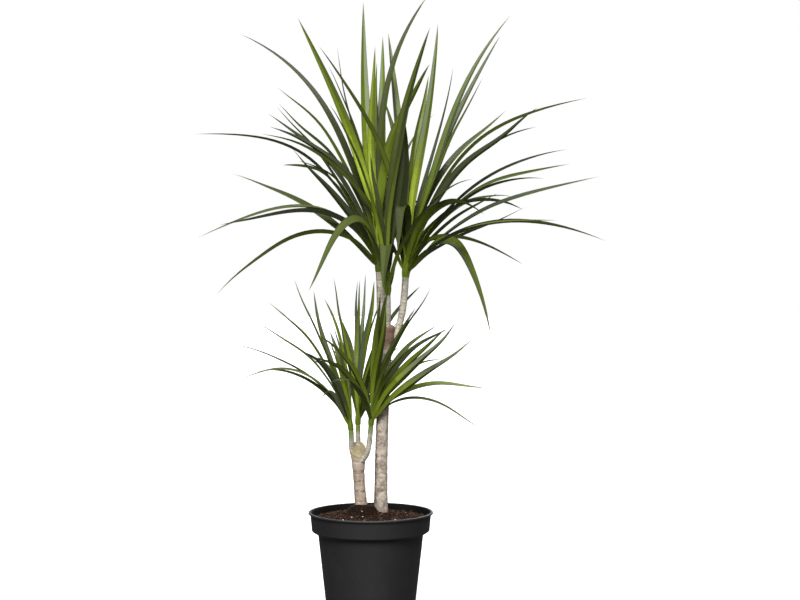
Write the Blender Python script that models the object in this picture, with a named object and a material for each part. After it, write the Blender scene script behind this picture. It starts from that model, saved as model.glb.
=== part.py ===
"""Potted dragon tree: two bare canes in a nursery pot, with three leafy heads on each cane.

Metres, +Z up. The origin is the middle of the pot's flat underside. +X is the viewer's right and
+Y points away from the viewer. Each head is a short green core ringed by long strap leaves.
"""

import math
import random
from collections import namedtuple

import bmesh
import bpy
from mathutils import Matrix, Vector
from mathutils.bvhtree import BVHTree

UP = Vector((0, 0, 1))

# Running gap that neighbouring solids keep
GAP = 0.0003
MERGE = 0.000004

# Pot: a thin moulded shell with a deep band under its lip
POT_HEIGHT = 0.170
POT_WALL = 0.002
POT_SIDES = 44
FOOT_RADIUS = 0.065
FOOT_CHAMFER = 0.003
NECK_RADIUS = 0.0800
NECK_HEIGHT = 0.136
BAND_FOOT_RADIUS = 0.0895
BAND_FOOT_HEIGHT = 0.142
BAND_TOP_RADIUS = 0.0918
LIP_RADIUS = 0.095
LIP_HEIGHT = 0.0035
LIP_ROUND = 0.0006
LIP_EDGE_SHARE = 0.7
INNER_RISE = 0.6
DRAIN_HOLES = 8
DRAIN_RADIUS = 0.004
DRAIN_CIRCLE = 0.045
DRAIN_SIDES = 10

# Compost: a low dome with a flat-topped mound under each cane
COMPOST_EDGE_HEIGHT = 0.160
COMPOST_CROWN_HEIGHT = 0.1635
MOUND_TOP_RADIUS = 0.0135
MOUND_SPREAD = 0.013
MOUND_DEPTH = 0.006
MOUND_SIDES = 24
DOME_RINGS = 4

# Canes, branches and the green cores that carry the leaves
CANE_SIDES = 14
CANE_BOW = 0.01
BRANCH_SIDES = 10
BRANCH_RINGS = 9
BRANCH_STRAIGHT = 0.6
CORE_SIDES = 8
CORE_RINGS = 5
CORE_TAPER = 0.62
TALL_FOOT = Vector((0.015, 0.016, 0.1665))
TALL_TOP = Vector((0.026, 0.024, 0.455))
TALL_RADII = (0.0108, 0.0097, 0.0094, 0.0092, 0.0090, 0.0086, 0.0088, 0.0082)
SHORT_FOOT = Vector((-0.0155, 0.030, 0.174))
SHORT_TOP = Vector((-0.0205, 0.022, 0.276))
SHORT_RADII = (0.0100, 0.0093, 0.0089, 0.0092, 0.0104, 0.0120, 0.0118)
SHORT_CUT_POINT = Vector((-0.0205, 0.022, 0.2605))
SHORT_CUT_TILT = math.radians(48)

# Leaves: a flat upper face over a keel, widest before the middle, drawn out to a point
LEAF_RINGS = 8
LEAF_THICKNESS_SHARE = 0.0105
LEAF_ROOT_WIDTH = 0.55
LEAF_FULL_AT = 0.30
LEAF_TAPER_FROM = 0.38
LEAF_TAPER_POWER = 1.25
KEEL_ROOT, KEEL_SPREAD = 0.45, 0.8
ROOT_ROLL = (4, 16)
TIP_ROLL = (22, 60)
LOWEST_LIFT, STEEPEST_LIFT = 34.0, 90.0
SEAT_LOW, SEAT_HIGH = 0.10, 0.94
ROOT_SHARE, ROOT_REACH = 0.5, 0.2
CORE_SHARE = 0.58
CLEARANCE = 0.0004
FREE_SHARE = 0.33
NUDGES = (0, 4, -4, 8, -8, 12, -12, 17, -17, 23, -23)
GOLDEN_SHARE = 0.618034

# Fillers, from the lowest rank to the highest: heading spread, lift, span and droop
FILLER_SPREAD = 70
FILLER_LIFT, FILLER_LIFT_RISE, FILLER_LIFT_CHANCE = 46, 40, 4
FILLER_SPAN, FILLER_SPAN_LOSS, FILLER_SHORTEST = 0.98, 0.12, 0.84
FILLER_SAG, FILLER_SAG_LOW = 3, 22
FILLER_DROOP, FILLER_DROOP_LOW = 12, 52

# One leaf, in the upright plane that it grows in. azimuth is its heading in plan, 0 to the right
# and 90 away from the viewer. reach and rise place the tip from the leaf's mark on the head's axis.
# lift and tip are its slopes there and at the tip. A pull near 1 folds it sharply at its crest.
# seat is the mark's place up the axis, and None leaves that to its lift: the steeper a leaf, the
# younger it is. Its root lies below the mark, at ROOT_SHARE of its height.
Leaf = namedtuple("Leaf", "azimuth reach rise lift tip pull seat", defaults=(0.40, None))

# A branch starts inside its cane at foot, heads for out and comes up in line with the head's core
Branch = namedtuple("Branch", "name foot out foot_radius tip_radius")

# core_foot and core_top are the ends of the axis that leaves are marked on, and the core takes up
# CORE_SHARE of it. leaves are the ones that stand out. fillers close the crown towards the
# facings, and chord is their span.
Head = namedtuple("Head", "name branch core_foot core_top core_radius width leaves fillers facings chord")

RIGHT_HEAD_LEAVES = (
    Leaf(196, 0.226, 0.211, 64, 10, seat=0.12),
    Leaf(143, 0.176, 0.320, 78, 49, 0.42),
    Leaf(-30, 0.150, -0.104, 50, -74, 0.78, 0.08),
    Leaf(262, 0.108, -0.012, 80, -78, 0.80),
    Leaf(-60, 0.089, 0.327, 80, 86),
    Leaf(12, 0.167, 0.375, 68, 50),
    Leaf(32, 0.178, 0.352, 70, 56),
    Leaf(48, 0.120, 0.300, 70, 76),
    Leaf(17, 0.118, 0.266, 68, 58),
    Leaf(112, 0.078, 0.339, 84, 76),
    Leaf(60, 0.100, 0.225, 72, 70),
    Leaf(8, 0.287, 0.247, 66, 12, 0.47),
    Leaf(25, 0.185, 0.232, 68, 36, 0.48),
    Leaf(-36, 0.238, 0.204, 59, 20, 0.46),
    Leaf(55, 0.123, 0.185, 62, 38),
    Leaf(20, 0.277, 0.183, 54, 10),
    Leaf(-32, 0.278, 0.138, 50, 2, 0.45),
    Leaf(-20, 0.303, 0.134, 42, 11, 0.45),
    Leaf(14, 0.196, 0.100, 40, 26),
    Leaf(-14, 0.307, 0.039, 43, -23),
    Leaf(-44, 0.294, 0.067, 38, -3),
    Leaf(-25, 0.190, -0.007, 56, -30),
    Leaf(35, 0.233, 0.086, 58, -20),
    Leaf(-62, 0.226, 0.058, 59, -26),
    Leaf(15, 0.150, 0.115, 48, 26),
)
LEFT_HEAD_LEAVES = (
    Leaf(160, 0.238, 0.346, 72, 25),
    Leaf(200, 0.129, 0.340, 80, 62),
    Leaf(-35, 0.099, 0.259, 88, 48, 0.42),
    Leaf(118, 0.052, 0.388, 75, 90),
    Leaf(130, 0.100, 0.318, 78, 76),
    Leaf(170, 0.298, 0.192, 60, 0, 0.50),
    Leaf(150, 0.190, 0.235, 68, 36, 0.45),
    Leaf(165, 0.165, 0.231, 62, 46),
    Leaf(212, 0.177, 0.178, 72, 19, 0.50),
    Leaf(230, 0.194, 0.156, 49, 33),
    Leaf(194, 0.229, 0.132, 41, 12),
    Leaf(206, 0.291, 0.024, 55, -25, 0.46),
    Leaf(220, 0.279, 0.041, 52, -13, 0.45),
    Leaf(203, 0.257, -0.052, 46, -48, 0.45),
    Leaf(165, 0.004, 0.300, 84, 95),
    Leaf(85, 0.075, 0.335, 80, 84),
    Leaf(20, 0.084, 0.384, 88, 54),
)
MIDDLE_HEAD_LEAVES = (
    Leaf(210, 0.142, 0.004, 76, -62, 1.10, 0.05),
    Leaf(150, 0.030, 0.170, 82, 80),
    Leaf(-44, 0.090, 0.342, 86, 62),
    Leaf(-10, 0.027, 0.225, 78, 92),
    Leaf(-60, 0.088, 0.285, 84, 72),
    Leaf(255, 0.045, 0.004, 84, -80, 2.10, 0.05),
    Leaf(58, 0.045, 0.070, 58, 56, 0.40, 0.04),
)
LOW_RIGHT_LEAVES = (
    Leaf(-72, 0.070, 0.150, 80, 80),
    Leaf(-48, 0.129, 0.185, 70, 52),
    Leaf(-20, 0.069, 0.148, 76, 58),
    Leaf(-5, 0.103, 0.130, 66, 26),
    Leaf(-20, 0.120, 0.128, 58, 38),
    Leaf(-42, 0.172, 0.148, 52, 46),
    Leaf(-30, 0.182, 0.129, 44, 36),
    Leaf(-15, 0.184, 0.044, 46, -14, 0.43),
    Leaf(-8, 0.173, -0.024, 46, -44, 0.44),
)
LOW_LEFT_LEAVES = (
    Leaf(205, 0.049, 0.044, 50, -60, 0.60, 0.10),
    Leaf(208, 0.094, 0.206, 70, 66),
    Leaf(150, 0.069, 0.190, 66, 78),
    Leaf(168, 0.128, 0.172, 64, 32),
    Leaf(160, 0.165, 0.143, 60, 22, 0.46),
    Leaf(175, 0.197, 0.124, 54, 20, 0.45),
    Leaf(188, 0.176, 0.062, 56, -24, 0.48),
    Leaf(230, 0.050, 0.120, 70, 60),
)
LOW_MIDDLE_LEAVES = (
    Leaf(130, 0.064, 0.200, 78, 78),
    Leaf(105, 0.062, 0.195, 78, 82),
    Leaf(75, 0.045, 0.200, 86, 84),
    Leaf(25, 0.108, 0.187, 76, 40),
    Leaf(-45, 0.040, 0.190, 84, 78),
    Leaf(215, 0.032, 0.140, 80, 80),
)

HEADS = (
    Head(
        "leaf_head_upper_right",
        Branch("branch_upper_right", Vector((0.025, 0.0233, 0.428)),
               Vector((0.041, 0.0257, 0.432)), 0.0056, 0.0052),
        Vector((0.053, 0.028, 0.526)), Vector((0.056, 0.026, 0.588)), 0.0060, 0.0150,
        RIGHT_HEAD_LEAVES, 15, (75, 110, 45), 0.350,
    ),
    Head(
        "leaf_head_upper_left",
        Branch("branch_upper_left", Vector((0.025, 0.0235, 0.437)),
               Vector((0.012, 0.029, 0.4384)), 0.0069, 0.0066),
        Vector((0.0135, 0.034, 0.535)), Vector((0.010, 0.033, 0.592)), 0.0070, 0.0150,
        LEFT_HEAD_LEAVES, 18, (110, 75, 150), 0.350,
    ),
    Head(
        "leaf_head_upper_middle",
        Branch("branch_upper_middle", Vector((0.026, 0.021, 0.445)),
               Vector((0.026, 0.020, 0.462)), 0.0043, 0.0040),
        Vector((0.026, 0.007, 0.500)), Vector((0.024, 0.000, 0.560)), 0.0052, 0.0150,
        MIDDLE_HEAD_LEAVES, 6, (215, 325), 0.300,
    ),
    Head(
        "leaf_head_lower_right",
        Branch("branch_lower_right", Vector((-0.0165, 0.020, 0.2445)),
               Vector((-0.0045, 0.015, 0.252)), 0.0046, 0.0039),
        Vector((0.000, 0.008, 0.300)), Vector((0.003, 0.005, 0.342)), 0.0047, 0.0128,
        LOW_RIGHT_LEAVES, 12, (285, 320, 250), 0.200,
    ),
    Head(
        "leaf_head_lower_left",
        Branch("branch_lower_left", Vector((-0.0195, 0.026, 0.240)),
               Vector((-0.033, 0.034, 0.258)), 0.0044, 0.0041),
        Vector((-0.031, 0.024, 0.292)), Vector((-0.033, 0.022, 0.330)), 0.0050, 0.0128,
        LOW_LEFT_LEAVES, 10, (215, 110, 140), 0.200,
    ),
    Head(
        "leaf_head_lower_middle",
        Branch("branch_lower_middle", Vector((-0.0195, 0.027, 0.242)),
               Vector((-0.0195, 0.037, 0.256)), 0.0040, 0.0037),
        Vector((-0.0205, 0.032, 0.298)), Vector((-0.021, 0.034, 0.338)), 0.0046, 0.0124,
        LOW_MIDDLE_LEAVES, 13, (90, 60, 120), 0.205,
    ),
)

MATERIALS = {
    "pot_plastic": ((0.012, 0.012, 0.013), 0.45),
    "compost": ((0.035, 0.021, 0.013), 0.95),
    "cane_bark": ((0.42, 0.34, 0.27), 0.80),
    "branch_bark": ((0.46, 0.41, 0.34), 0.75),
    "leaf": ((0.050, 0.115, 0.015), 0.40),
}


def clear_scene():
    for obj in list(bpy.data.objects):
        bpy.data.objects.remove(obj)


def material(name):
    """The named Principled material, made once."""
    found = bpy.data.materials.get(name)
    if found:
        return found
    colour, roughness = MATERIALS[name]
    made = bpy.data.materials.new(name)
    made.use_nodes = True
    shader = made.node_tree.nodes["Principled BSDF"]
    shader.inputs["Base Color"].default_value = (*colour, 1.0)
    shader.inputs["Roughness"].default_value = roughness
    shader.inputs["Metallic"].default_value = 0.0
    return made


def add_object(name, bm, material_name):
    """A linked object from a bmesh, which is freed."""
    mesh = bpy.data.meshes.new(name)
    bm.to_mesh(mesh)
    bm.free()
    mesh.materials.append(material(material_name))
    obj = bpy.data.objects.new(name, mesh)
    bpy.context.scene.collection.objects.link(obj)
    return obj


def combine(obj, operation, others, solver="EXACT"):
    """Joins others to obj, or cuts them from it, in one Boolean that is applied."""
    operands = bpy.data.collections.new(obj.name + "_operands")
    bpy.context.scene.collection.children.link(operands)
    for other in others:
        bpy.context.scene.collection.objects.unlink(other)
        operands.objects.link(other)
    modifier = obj.modifiers.new("combine", "BOOLEAN")
    modifier.operation = operation
    modifier.operand_type = "COLLECTION"
    modifier.collection = operands
    modifier.solver = solver
    bpy.context.view_layer.update()
    graph = bpy.context.evaluated_depsgraph_get()
    result = bpy.data.meshes.new_from_object(obj.evaluated_get(graph))
    obj.modifiers.clear()
    obj.data = result
    for other in others:
        bpy.data.objects.remove(other)
    bpy.data.collections.remove(operands)


def turned(name, profile, material_name):
    """A solid of revolution about Z. The profile starts and ends on the axis."""
    bm = bmesh.new()
    verts = [bm.verts.new((radius, 0.0, height)) for radius, height in profile]
    edges = [bm.edges.new(pair) for pair in zip(verts, verts[1:])]
    bmesh.ops.spin(bm, geom=verts + edges, cent=(0, 0, 0), axis=(0, 0, 1), angle=math.tau,
                   steps=POT_SIDES, use_merge=True)
    bmesh.ops.remove_doubles(bm, verts=bm.verts, dist=1e-6)
    bmesh.ops.recalc_face_normals(bm, faces=bm.faces)
    return add_object(name, bm, material_name)


def shifted(point, inward):
    """A profile point moved in by this much, and up by enough to keep a chamfer's thickness."""
    radius, height = point
    return (radius - inward, height + INNER_RISE * inward)


def make_pot():
    """The shell: foot, tapering wall, band and lip, with drain holes in its flat base."""
    foot = (FOOT_RADIUS, FOOT_CHAMFER)
    neck = (NECK_RADIUS, NECK_HEIGHT)
    band_foot = (BAND_FOOT_RADIUS, BAND_FOOT_HEIGHT)
    band_top = (BAND_TOP_RADIUS, POT_HEIGHT - LIP_HEIGHT)
    profile = [
        (0.0, 0.0),
        (FOOT_RADIUS - FOOT_CHAMFER, 0.0),
        foot,
        neck,
        band_foot,
        band_top,
        (LIP_RADIUS, POT_HEIGHT - LIP_EDGE_SHARE * LIP_HEIGHT),
        (LIP_RADIUS - LIP_ROUND, POT_HEIGHT),
        (BAND_TOP_RADIUS - 0.5 * POT_WALL, POT_HEIGHT),
        (BAND_TOP_RADIUS - POT_WALL, POT_HEIGHT - LIP_HEIGHT),
        shifted(band_foot, POT_WALL),
        shifted(neck, POT_WALL),
        (FOOT_RADIUS - POT_WALL, FOOT_CHAMFER + POT_WALL),
        (FOOT_RADIUS - FOOT_CHAMFER - POT_WALL, POT_WALL),
        (0.0, POT_WALL),
    ]
    pot = turned("pot", profile, "pot_plastic")
    drills = []
    for i in range(DRAIN_HOLES):
        angle = math.tau * (i + 0.5) / DRAIN_HOLES
        bm = bmesh.new()
        bmesh.ops.create_cone(
            bm, cap_ends=True, segments=DRAIN_SIDES, radius1=DRAIN_RADIUS, radius2=DRAIN_RADIUS,
            depth=4 * POT_WALL,
            matrix=Matrix.Translation((DRAIN_CIRCLE * math.cos(angle), DRAIN_CIRCLE * math.sin(angle), 0)),
        )
        drills.append(add_object("drill", bm, "pot_plastic"))
    combine(pot, "DIFFERENCE", drills)
    return pot


def make_compost():
    """The filling, clear of the shell by the gap, with a mound that carries each cane."""
    inner = POT_WALL + GAP
    band_slope = (BAND_TOP_RADIUS - BAND_FOOT_RADIUS) / (POT_HEIGHT - LIP_HEIGHT - BAND_FOOT_HEIGHT)
    edge_radius = BAND_FOOT_RADIUS - inner - GAP + band_slope * (COMPOST_EDGE_HEIGHT - BAND_FOOT_HEIGHT)
    profile = [
        (0.0, inner),
        (FOOT_RADIUS - FOOT_CHAMFER - inner - GAP, inner),
        (FOOT_RADIUS - inner, FOOT_CHAMFER + inner + GAP),
        shifted((NECK_RADIUS - GAP, NECK_HEIGHT + GAP), inner),
        shifted((BAND_FOOT_RADIUS - GAP, BAND_FOOT_HEIGHT + GAP), inner),
        (edge_radius, COMPOST_EDGE_HEIGHT),
    ]
    dome = COMPOST_CROWN_HEIGHT - COMPOST_EDGE_HEIGHT
    for ring in reversed(range(DOME_RINGS)):
        share = ring / DOME_RINGS
        profile.append((share * edge_radius, COMPOST_EDGE_HEIGHT + dome * math.cos(share * math.pi / 2)))
    compost = turned("compost", profile, "compost")
    mounds = []
    for seat in (TALL_FOOT, SHORT_FOOT):
        top = seat.z - GAP
        foot = COMPOST_EDGE_HEIGHT - MOUND_DEPTH
        bm = bmesh.new()
        bmesh.ops.create_cone(
            bm, cap_ends=True, segments=MOUND_SIDES, radius1=MOUND_TOP_RADIUS + MOUND_SPREAD,
            radius2=MOUND_TOP_RADIUS, depth=top - foot,
            matrix=Matrix.Translation((seat.x, seat.y, (top + foot) / 2)),
        )
        mounds.append(add_object("mound", bm, "compost"))
    combine(compost, "UNION", mounds)
    return compost


def tube(name, centres, radii, sides, material_name, foot_axis=None, tip_axis=None):
    """A closed limb through the centres. Its rings stand square to its run, and its end rings
    square to the axes where they are given."""
    bm = bmesh.new()
    rings = []
    side = Vector((1, 0, 0))
    last = len(centres) - 1
    for i, (centre, radius) in enumerate(zip(centres, radii)):
        along = (centres[min(i + 1, last)] - centres[max(i - 1, 0)]).normalized()
        if i == 0 and foot_axis:
            along = foot_axis
        if i == last and tip_axis:
            along = tip_axis
        side = (side - along * side.dot(along)).normalized()
        across = along.cross(side)
        rings.append([
            bm.verts.new(centre + radius * (math.cos(a) * side + math.sin(a) * across))
            for a in (math.tau * k / sides for k in range(sides))
        ])
    for lower, upper in zip(rings, rings[1:]):
        for k in range(sides):
            n = (k + 1) % sides
            bm.faces.new((lower[k], lower[n], upper[n], upper[k]))
    bm.faces.new(reversed(rings[0]))
    bm.faces.new(rings[-1])
    return add_object(name, bm, material_name)


def cane_centres(foot, top, count):
    """Evenly spaced centres from foot to top, with a slight bow towards the viewer's left."""
    bow = CANE_BOW * (top - foot).length
    return [
        foot.lerp(top, i / (count - 1)) - Vector((bow * math.sin(math.pi * i / (count - 1)), 0, 0))
        for i in range(count)
    ]


def make_tall_cane(name, grow=0.0):
    radii = [radius + grow for radius in TALL_RADII]
    centres = cane_centres(TALL_FOOT, TALL_TOP, len(radii))
    centres[-1] = centres[-1] + Vector((0, 0, grow))
    return tube(name, centres, radii, CANE_SIDES, "cane_bark", foot_axis=UP)


def make_short_cane(name, grow=0.0):
    """The short cane, sawn off at a slant that faces the viewer."""
    radii = [radius + grow for radius in SHORT_RADII]
    cane = tube(name, cane_centres(SHORT_FOOT, SHORT_TOP, len(radii)), radii, CANE_SIDES,
                "cane_bark", foot_axis=UP)
    normal = Vector((0, -math.sin(SHORT_CUT_TILT), math.cos(SHORT_CUT_TILT)))
    bm = bmesh.new()
    bm.from_mesh(cane.data)
    cut = bmesh.ops.bisect_plane(bm, geom=bm.verts[:] + bm.edges[:] + bm.faces[:], dist=1e-7,
                                 plane_co=SHORT_CUT_POINT + normal * grow, plane_no=normal,
                                 clear_outer=True)
    rim = [e for e in cut["geom_cut"] if isinstance(e, bmesh.types.BMEdge)]
    bmesh.ops.edgeloop_fill(bm, edges=rim)
    bmesh.ops.recalc_face_normals(bm, faces=bm.faces)
    bm.to_mesh(cane.data)
    bm.free()
    return cane


def bezier(a, b, c, d, t):
    u = 1.0 - t
    return a * u**3 + b * (3 * u * u * t) + c * (3 * u * t * t) + d * t**3


def make_branch(head, make_cane):
    """One tapering branch, cut back to stand clear of the cane that it grows from."""
    branch = head.branch
    shares = [i / (BRANCH_RINGS - 1) for i in range(BRANCH_RINGS)]
    axis = (head.core_top - head.core_foot).normalized()
    tip = head.core_foot - axis * GAP
    under = tip - axis * BRANCH_STRAIGHT * (tip - branch.foot).length
    centres = [bezier(branch.foot, branch.out, under, tip, t) for t in shares]
    radii = [branch.foot_radius + (branch.tip_radius - branch.foot_radius) * t for t in shares]
    obj = tube(branch.name, centres, radii, BRANCH_SIDES, "branch_bark", tip_axis=axis)
    combine(obj, "DIFFERENCE", [make_cane("cane_envelope", GAP)])
    return obj


def make_core(head):
    """The green core of a head, tapering up from its branch."""
    shares = [i / (CORE_RINGS - 1) for i in range(CORE_RINGS)]
    centres = [head.core_foot.lerp(head.core_top, CORE_SHARE * t) for t in shares]
    radii = [head.core_radius * (1 - CORE_TAPER * t) for t in shares]
    return tube(head.name, centres, radii, CORE_SIDES, "leaf")


def filler_leaves(head):
    """Leaves by rank from low and arching to upright, dealt by the golden angle to the front and
    back of the crown."""
    made = []
    for i in range(head.fillers):
        rank = (i + 0.5) / head.fillers
        chance = random.Random(f"{head.name} filler {i}")
        facing = head.facings[i % len(head.facings)]
        azimuth = facing + FILLER_SPREAD * ((i * GOLDEN_SHARE) % 1.0 - 0.5)
        low = 1 - rank
        lift = FILLER_LIFT + FILLER_LIFT_RISE * rank
        lift += chance.uniform(-FILLER_LIFT_CHANCE, FILLER_LIFT_CHANCE)
        chord = head.chord * (FILLER_SPAN - FILLER_SPAN_LOSS * low) * chance.uniform(FILLER_SHORTEST, 1.0)
        slope = math.radians(lift - FILLER_SAG - FILLER_SAG_LOW * low)
        droop = FILLER_DROOP + FILLER_DROOP_LOW * low
        made.append(Leaf(azimuth, chord * math.cos(slope), chord * math.sin(slope), lift, lift - droop))
    return made


def leaf_line(head, leaf, azimuth):
    """Centres, tangents and length shares of a leaf's rings and its tip, in the upright plane."""
    share = leaf.seat
    if share is None:
        share = (leaf.lift - LOWEST_LIFT) / (STEEPEST_LIFT - LOWEST_LIFT)
        share = SEAT_LOW + (SEAT_HIGH - SEAT_LOW) * min(max(share, 0.0), 1.0)
    mark = head.core_foot.lerp(head.core_top, share)
    drop = (mark - head.core_foot) * (1 - ROOT_SHARE)
    heading = Vector((math.cos(math.radians(azimuth)), math.sin(math.radians(azimuth)), 0))

    def slope(degrees):
        return heading * math.cos(math.radians(degrees)) + UP * math.sin(math.radians(degrees))

    tip = mark + heading * leaf.reach + UP * leaf.rise
    handle = leaf.pull * math.hypot(leaf.reach, leaf.rise)
    start = mark + slope(leaf.lift) * handle
    end = tip - slope(leaf.tip) * handle
    points = []
    for t in (i / LEAF_RINGS for i in range(LEAF_RINGS + 1)):
        rooted = max(0.0, 1 - t / ROOT_REACH)
        lowered = drop * rooted * rooted * (3 - 2 * rooted)
        points.append(bezier(mark, start, end, tip, t) - lowered)
    runs = [0.0]
    for a, b in zip(points, points[1:]):
        runs.append(runs[-1] + (b - a).length)
    length = runs[-1]
    return points, [run / length for run in runs], heading, length


def width_share(share):
    """A leaf's width along its length, as a share of its greatest width."""
    opened = math.sin(min(share / LEAF_FULL_AT, 1.0) * math.pi / 2)
    drawn = max(0.0, (share - LEAF_TAPER_FROM) / (1 - LEAF_TAPER_FROM)) ** LEAF_TAPER_POWER
    return (LEAF_ROOT_WIDTH + (1 - LEAF_ROOT_WIDTH) * opened) * (1 - drawn)


def leaf_rolls(head, index):
    """How far a leaf is turned about its own run at its root and at its tip."""
    chance = random.Random(f"{head.name} roll {index}")
    side = chance.choice((-1, 1))
    root = math.radians(side * chance.uniform(*ROOT_ROLL))
    tip = math.radians(side * chance.uniform(*TIP_ROLL))
    return root, tip


def leaf_mesh(head, leaf, azimuth, index, grow=0.0, from_share=0.0):
    """A leaf's corners and faces: three-sided rings that end in a point."""
    points, shares, heading, length = leaf_line(head, leaf, azimuth)
    root_roll, tip_roll = leaf_rolls(head, index)
    flat = Vector((-heading.y, heading.x, 0))
    thickness = LEAF_THICKNESS_SHARE * length
    corners, first = [], 0
    while shares[first + 1] < from_share:
        first += 1
    for i in range(first, LEAF_RINGS):
        along = (points[i + 1] - points[max(i - 1, 0)]).normalized()
        roll = root_roll + (tip_roll - root_roll) * shares[i]
        face = along.cross(flat)
        side = flat * math.cos(roll) + face * math.sin(roll)
        down = side.cross(along).normalized()
        opened = width_share(shares[i])
        half = 0.5 * head.width * opened + grow
        keel = thickness * min(1.0, KEEL_ROOT + KEEL_SPREAD * opened) + grow
        corners += [
            points[i] - side * half - down * grow,
            points[i] + side * half - down * grow,
            points[i] + down * keel,
        ]
    corners.append(points[-1])
    rings = LEAF_RINGS - first
    faces = []
    for ring in range(rings - 1):
        a, b = 3 * ring, 3 * ring + 3
        faces += [(a + k, a + (k + 1) % 3, b + (k + 1) % 3, b + k) for k in range(3)]
    last, apex = 3 * (rings - 1), 3 * rings
    faces += [(last + k, last + (k + 1) % 3, apex) for k in range(3)]
    faces.append((2, 1, 0))
    return corners, faces


def tree_of(corners, faces):
    return BVHTree.FromPolygons(corners, faces)


class Thicket:
    """The leaves placed so far, for finding a heading at which a new one touches nothing."""

    def __init__(self, fixed):
        self.fixed = []
        for obj in fixed:
            corners = [obj.matrix_world @ v.co for v in obj.data.vertices]
            self.fixed.append((obj.name, tree_of(corners, [tuple(p.vertices) for p in obj.data.polygons])))
        self.placed = []

    def clear(self, head, leaf, azimuth, index):
        whole = tree_of(*leaf_mesh(head, leaf, azimuth, index, CLEARANCE))
        free = tree_of(*leaf_mesh(head, leaf, azimuth, index, CLEARANCE, FREE_SHARE))
        for name, tree in self.fixed:
            if name != head.name and whole.overlap(tree):
                return None
        for owner, other_whole, other_free in self.placed:
            if owner == head.name:
                if free.overlap(other_free):
                    return None
            elif whole.overlap(other_whole):
                return None
        return head.name, whole, free

    def place(self, head, leaf, index):
        """The first nearby heading that is clear, or None."""
        for nudge in NUDGES:
            found = self.clear(head, leaf, leaf.azimuth + nudge, index)
            if found:
                self.placed.append(found)
                return leaf.azimuth + nudge
        return None


def placed_leaves(heads, fixed):
    """(head name, index, leaf, azimuth) of each leaf that finds room, the outstanding ones first."""
    thicket = Thicket(fixed)
    found = []
    turns = [(head, i, leaf) for head in heads for i, leaf in enumerate(head.leaves)]
    fillers = {head.name: filler_leaves(head) for head in heads}
    for rank in range(max(len(made) for made in fillers.values())):
        for head in heads:
            if rank < len(fillers[head.name]):
                turns.append((head, len(head.leaves) + rank, fillers[head.name][rank]))
    for head, index, leaf in turns:
        azimuth = thicket.place(head, leaf, index)
        if azimuth is not None:
            found.append((head.name, index, leaf, azimuth))
    return found


def drop_pockets(obj):
    """Keeps a head's outer skin, without the pockets that crowded leaf roots close off."""
    bm = bmesh.new()
    bm.from_mesh(obj.data)
    islands, seen = [], set()
    for start in bm.faces:
        if start in seen:
            continue
        island, edge_of_search = [], [start]
        seen.add(start)
        while edge_of_search:
            face = edge_of_search.pop()
            island.append(face)
            for edge in face.edges:
                for other in edge.link_faces:
                    if other not in seen:
                        seen.add(other)
                        edge_of_search.append(other)
        islands.append(island)
    islands.sort(key=len)
    pockets = [face for island in islands[:-1] for face in island]
    bmesh.ops.delete(bm, geom=pockets, context="FACES")
    bmesh.ops.remove_doubles(bm, verts=bm.verts, dist=MERGE)
    bm.to_mesh(obj.data)
    bm.free()


def make_leaf(head, index, leaf, azimuth):
    corners, faces = leaf_mesh(head, leaf, azimuth, index)
    bm = bmesh.new()
    verts = [bm.verts.new(corner) for corner in corners]
    for face in faces:
        bm.faces.new([verts[i] for i in face])
    bmesh.ops.recalc_face_normals(bm, faces=bm.faces)
    return add_object("strap", bm, "leaf")


def main():
    clear_scene()
    fixed = [make_pot(), make_compost(), make_tall_cane("cane_tall"), make_short_cane("cane_short")]
    for head in HEADS:
        fixed.append(make_branch(head, make_tall_cane if "upper" in head.name else make_short_cane))
    cores = {head.name: make_core(head) for head in HEADS}
    leaves = placed_leaves(HEADS, fixed + list(cores.values()))
    for head in HEADS:
        straps = [make_leaf(head, index, leaf, azimuth)
                  for name, index, leaf, azimuth in leaves if name == head.name]
        combine(cores[head.name], "UNION", straps, "MANIFOLD")
        drop_pockets(cores[head.name])


if __name__ == "__main__":
    main()
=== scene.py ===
"""The looks of a potted dragon tree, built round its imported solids.

The file is laid out as an add-on and is run as a script. Metres, +Z up, and the viewer looks
along +Y. The leaves, branches and canes follow the rule that the solids were grown by.
"""

import math
import random
from collections import namedtuple

import bmesh
import bpy
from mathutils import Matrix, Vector, noise
from mathutils.bvhtree import BVHTree


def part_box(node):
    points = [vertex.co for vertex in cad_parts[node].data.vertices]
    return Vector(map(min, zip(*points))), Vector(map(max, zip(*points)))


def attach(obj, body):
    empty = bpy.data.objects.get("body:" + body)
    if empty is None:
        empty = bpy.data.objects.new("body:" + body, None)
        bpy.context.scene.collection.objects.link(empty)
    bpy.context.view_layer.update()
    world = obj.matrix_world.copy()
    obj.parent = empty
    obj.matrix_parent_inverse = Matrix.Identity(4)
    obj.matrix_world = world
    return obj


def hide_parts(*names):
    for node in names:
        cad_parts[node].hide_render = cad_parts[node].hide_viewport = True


bl_info = {
    "name": "Potted dragon tree",
    "version": (1, 0, 0),
    "blender": (4, 5, 0),
    "location": "3D View > Sidebar > Dragon tree",
    "description": "Builds the leaves, bark, compost, pot and studio of a potted dragon tree",
    "category": "Add Mesh",
}

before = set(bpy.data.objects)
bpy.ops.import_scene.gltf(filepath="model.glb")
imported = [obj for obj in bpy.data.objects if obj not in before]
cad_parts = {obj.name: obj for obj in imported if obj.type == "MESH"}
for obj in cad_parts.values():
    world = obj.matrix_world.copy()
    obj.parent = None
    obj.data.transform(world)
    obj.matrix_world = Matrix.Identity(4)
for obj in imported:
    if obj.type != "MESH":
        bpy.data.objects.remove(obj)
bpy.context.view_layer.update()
BODY = "root"
UP = Vector((0, 0, 1))

# The viewer's eye, its lens and the width of its sensor
EYE = Vector((0.0445, -2.10, 0.492))
LENS_MM, SENSOR_MM = 62.06, 36.0

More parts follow.
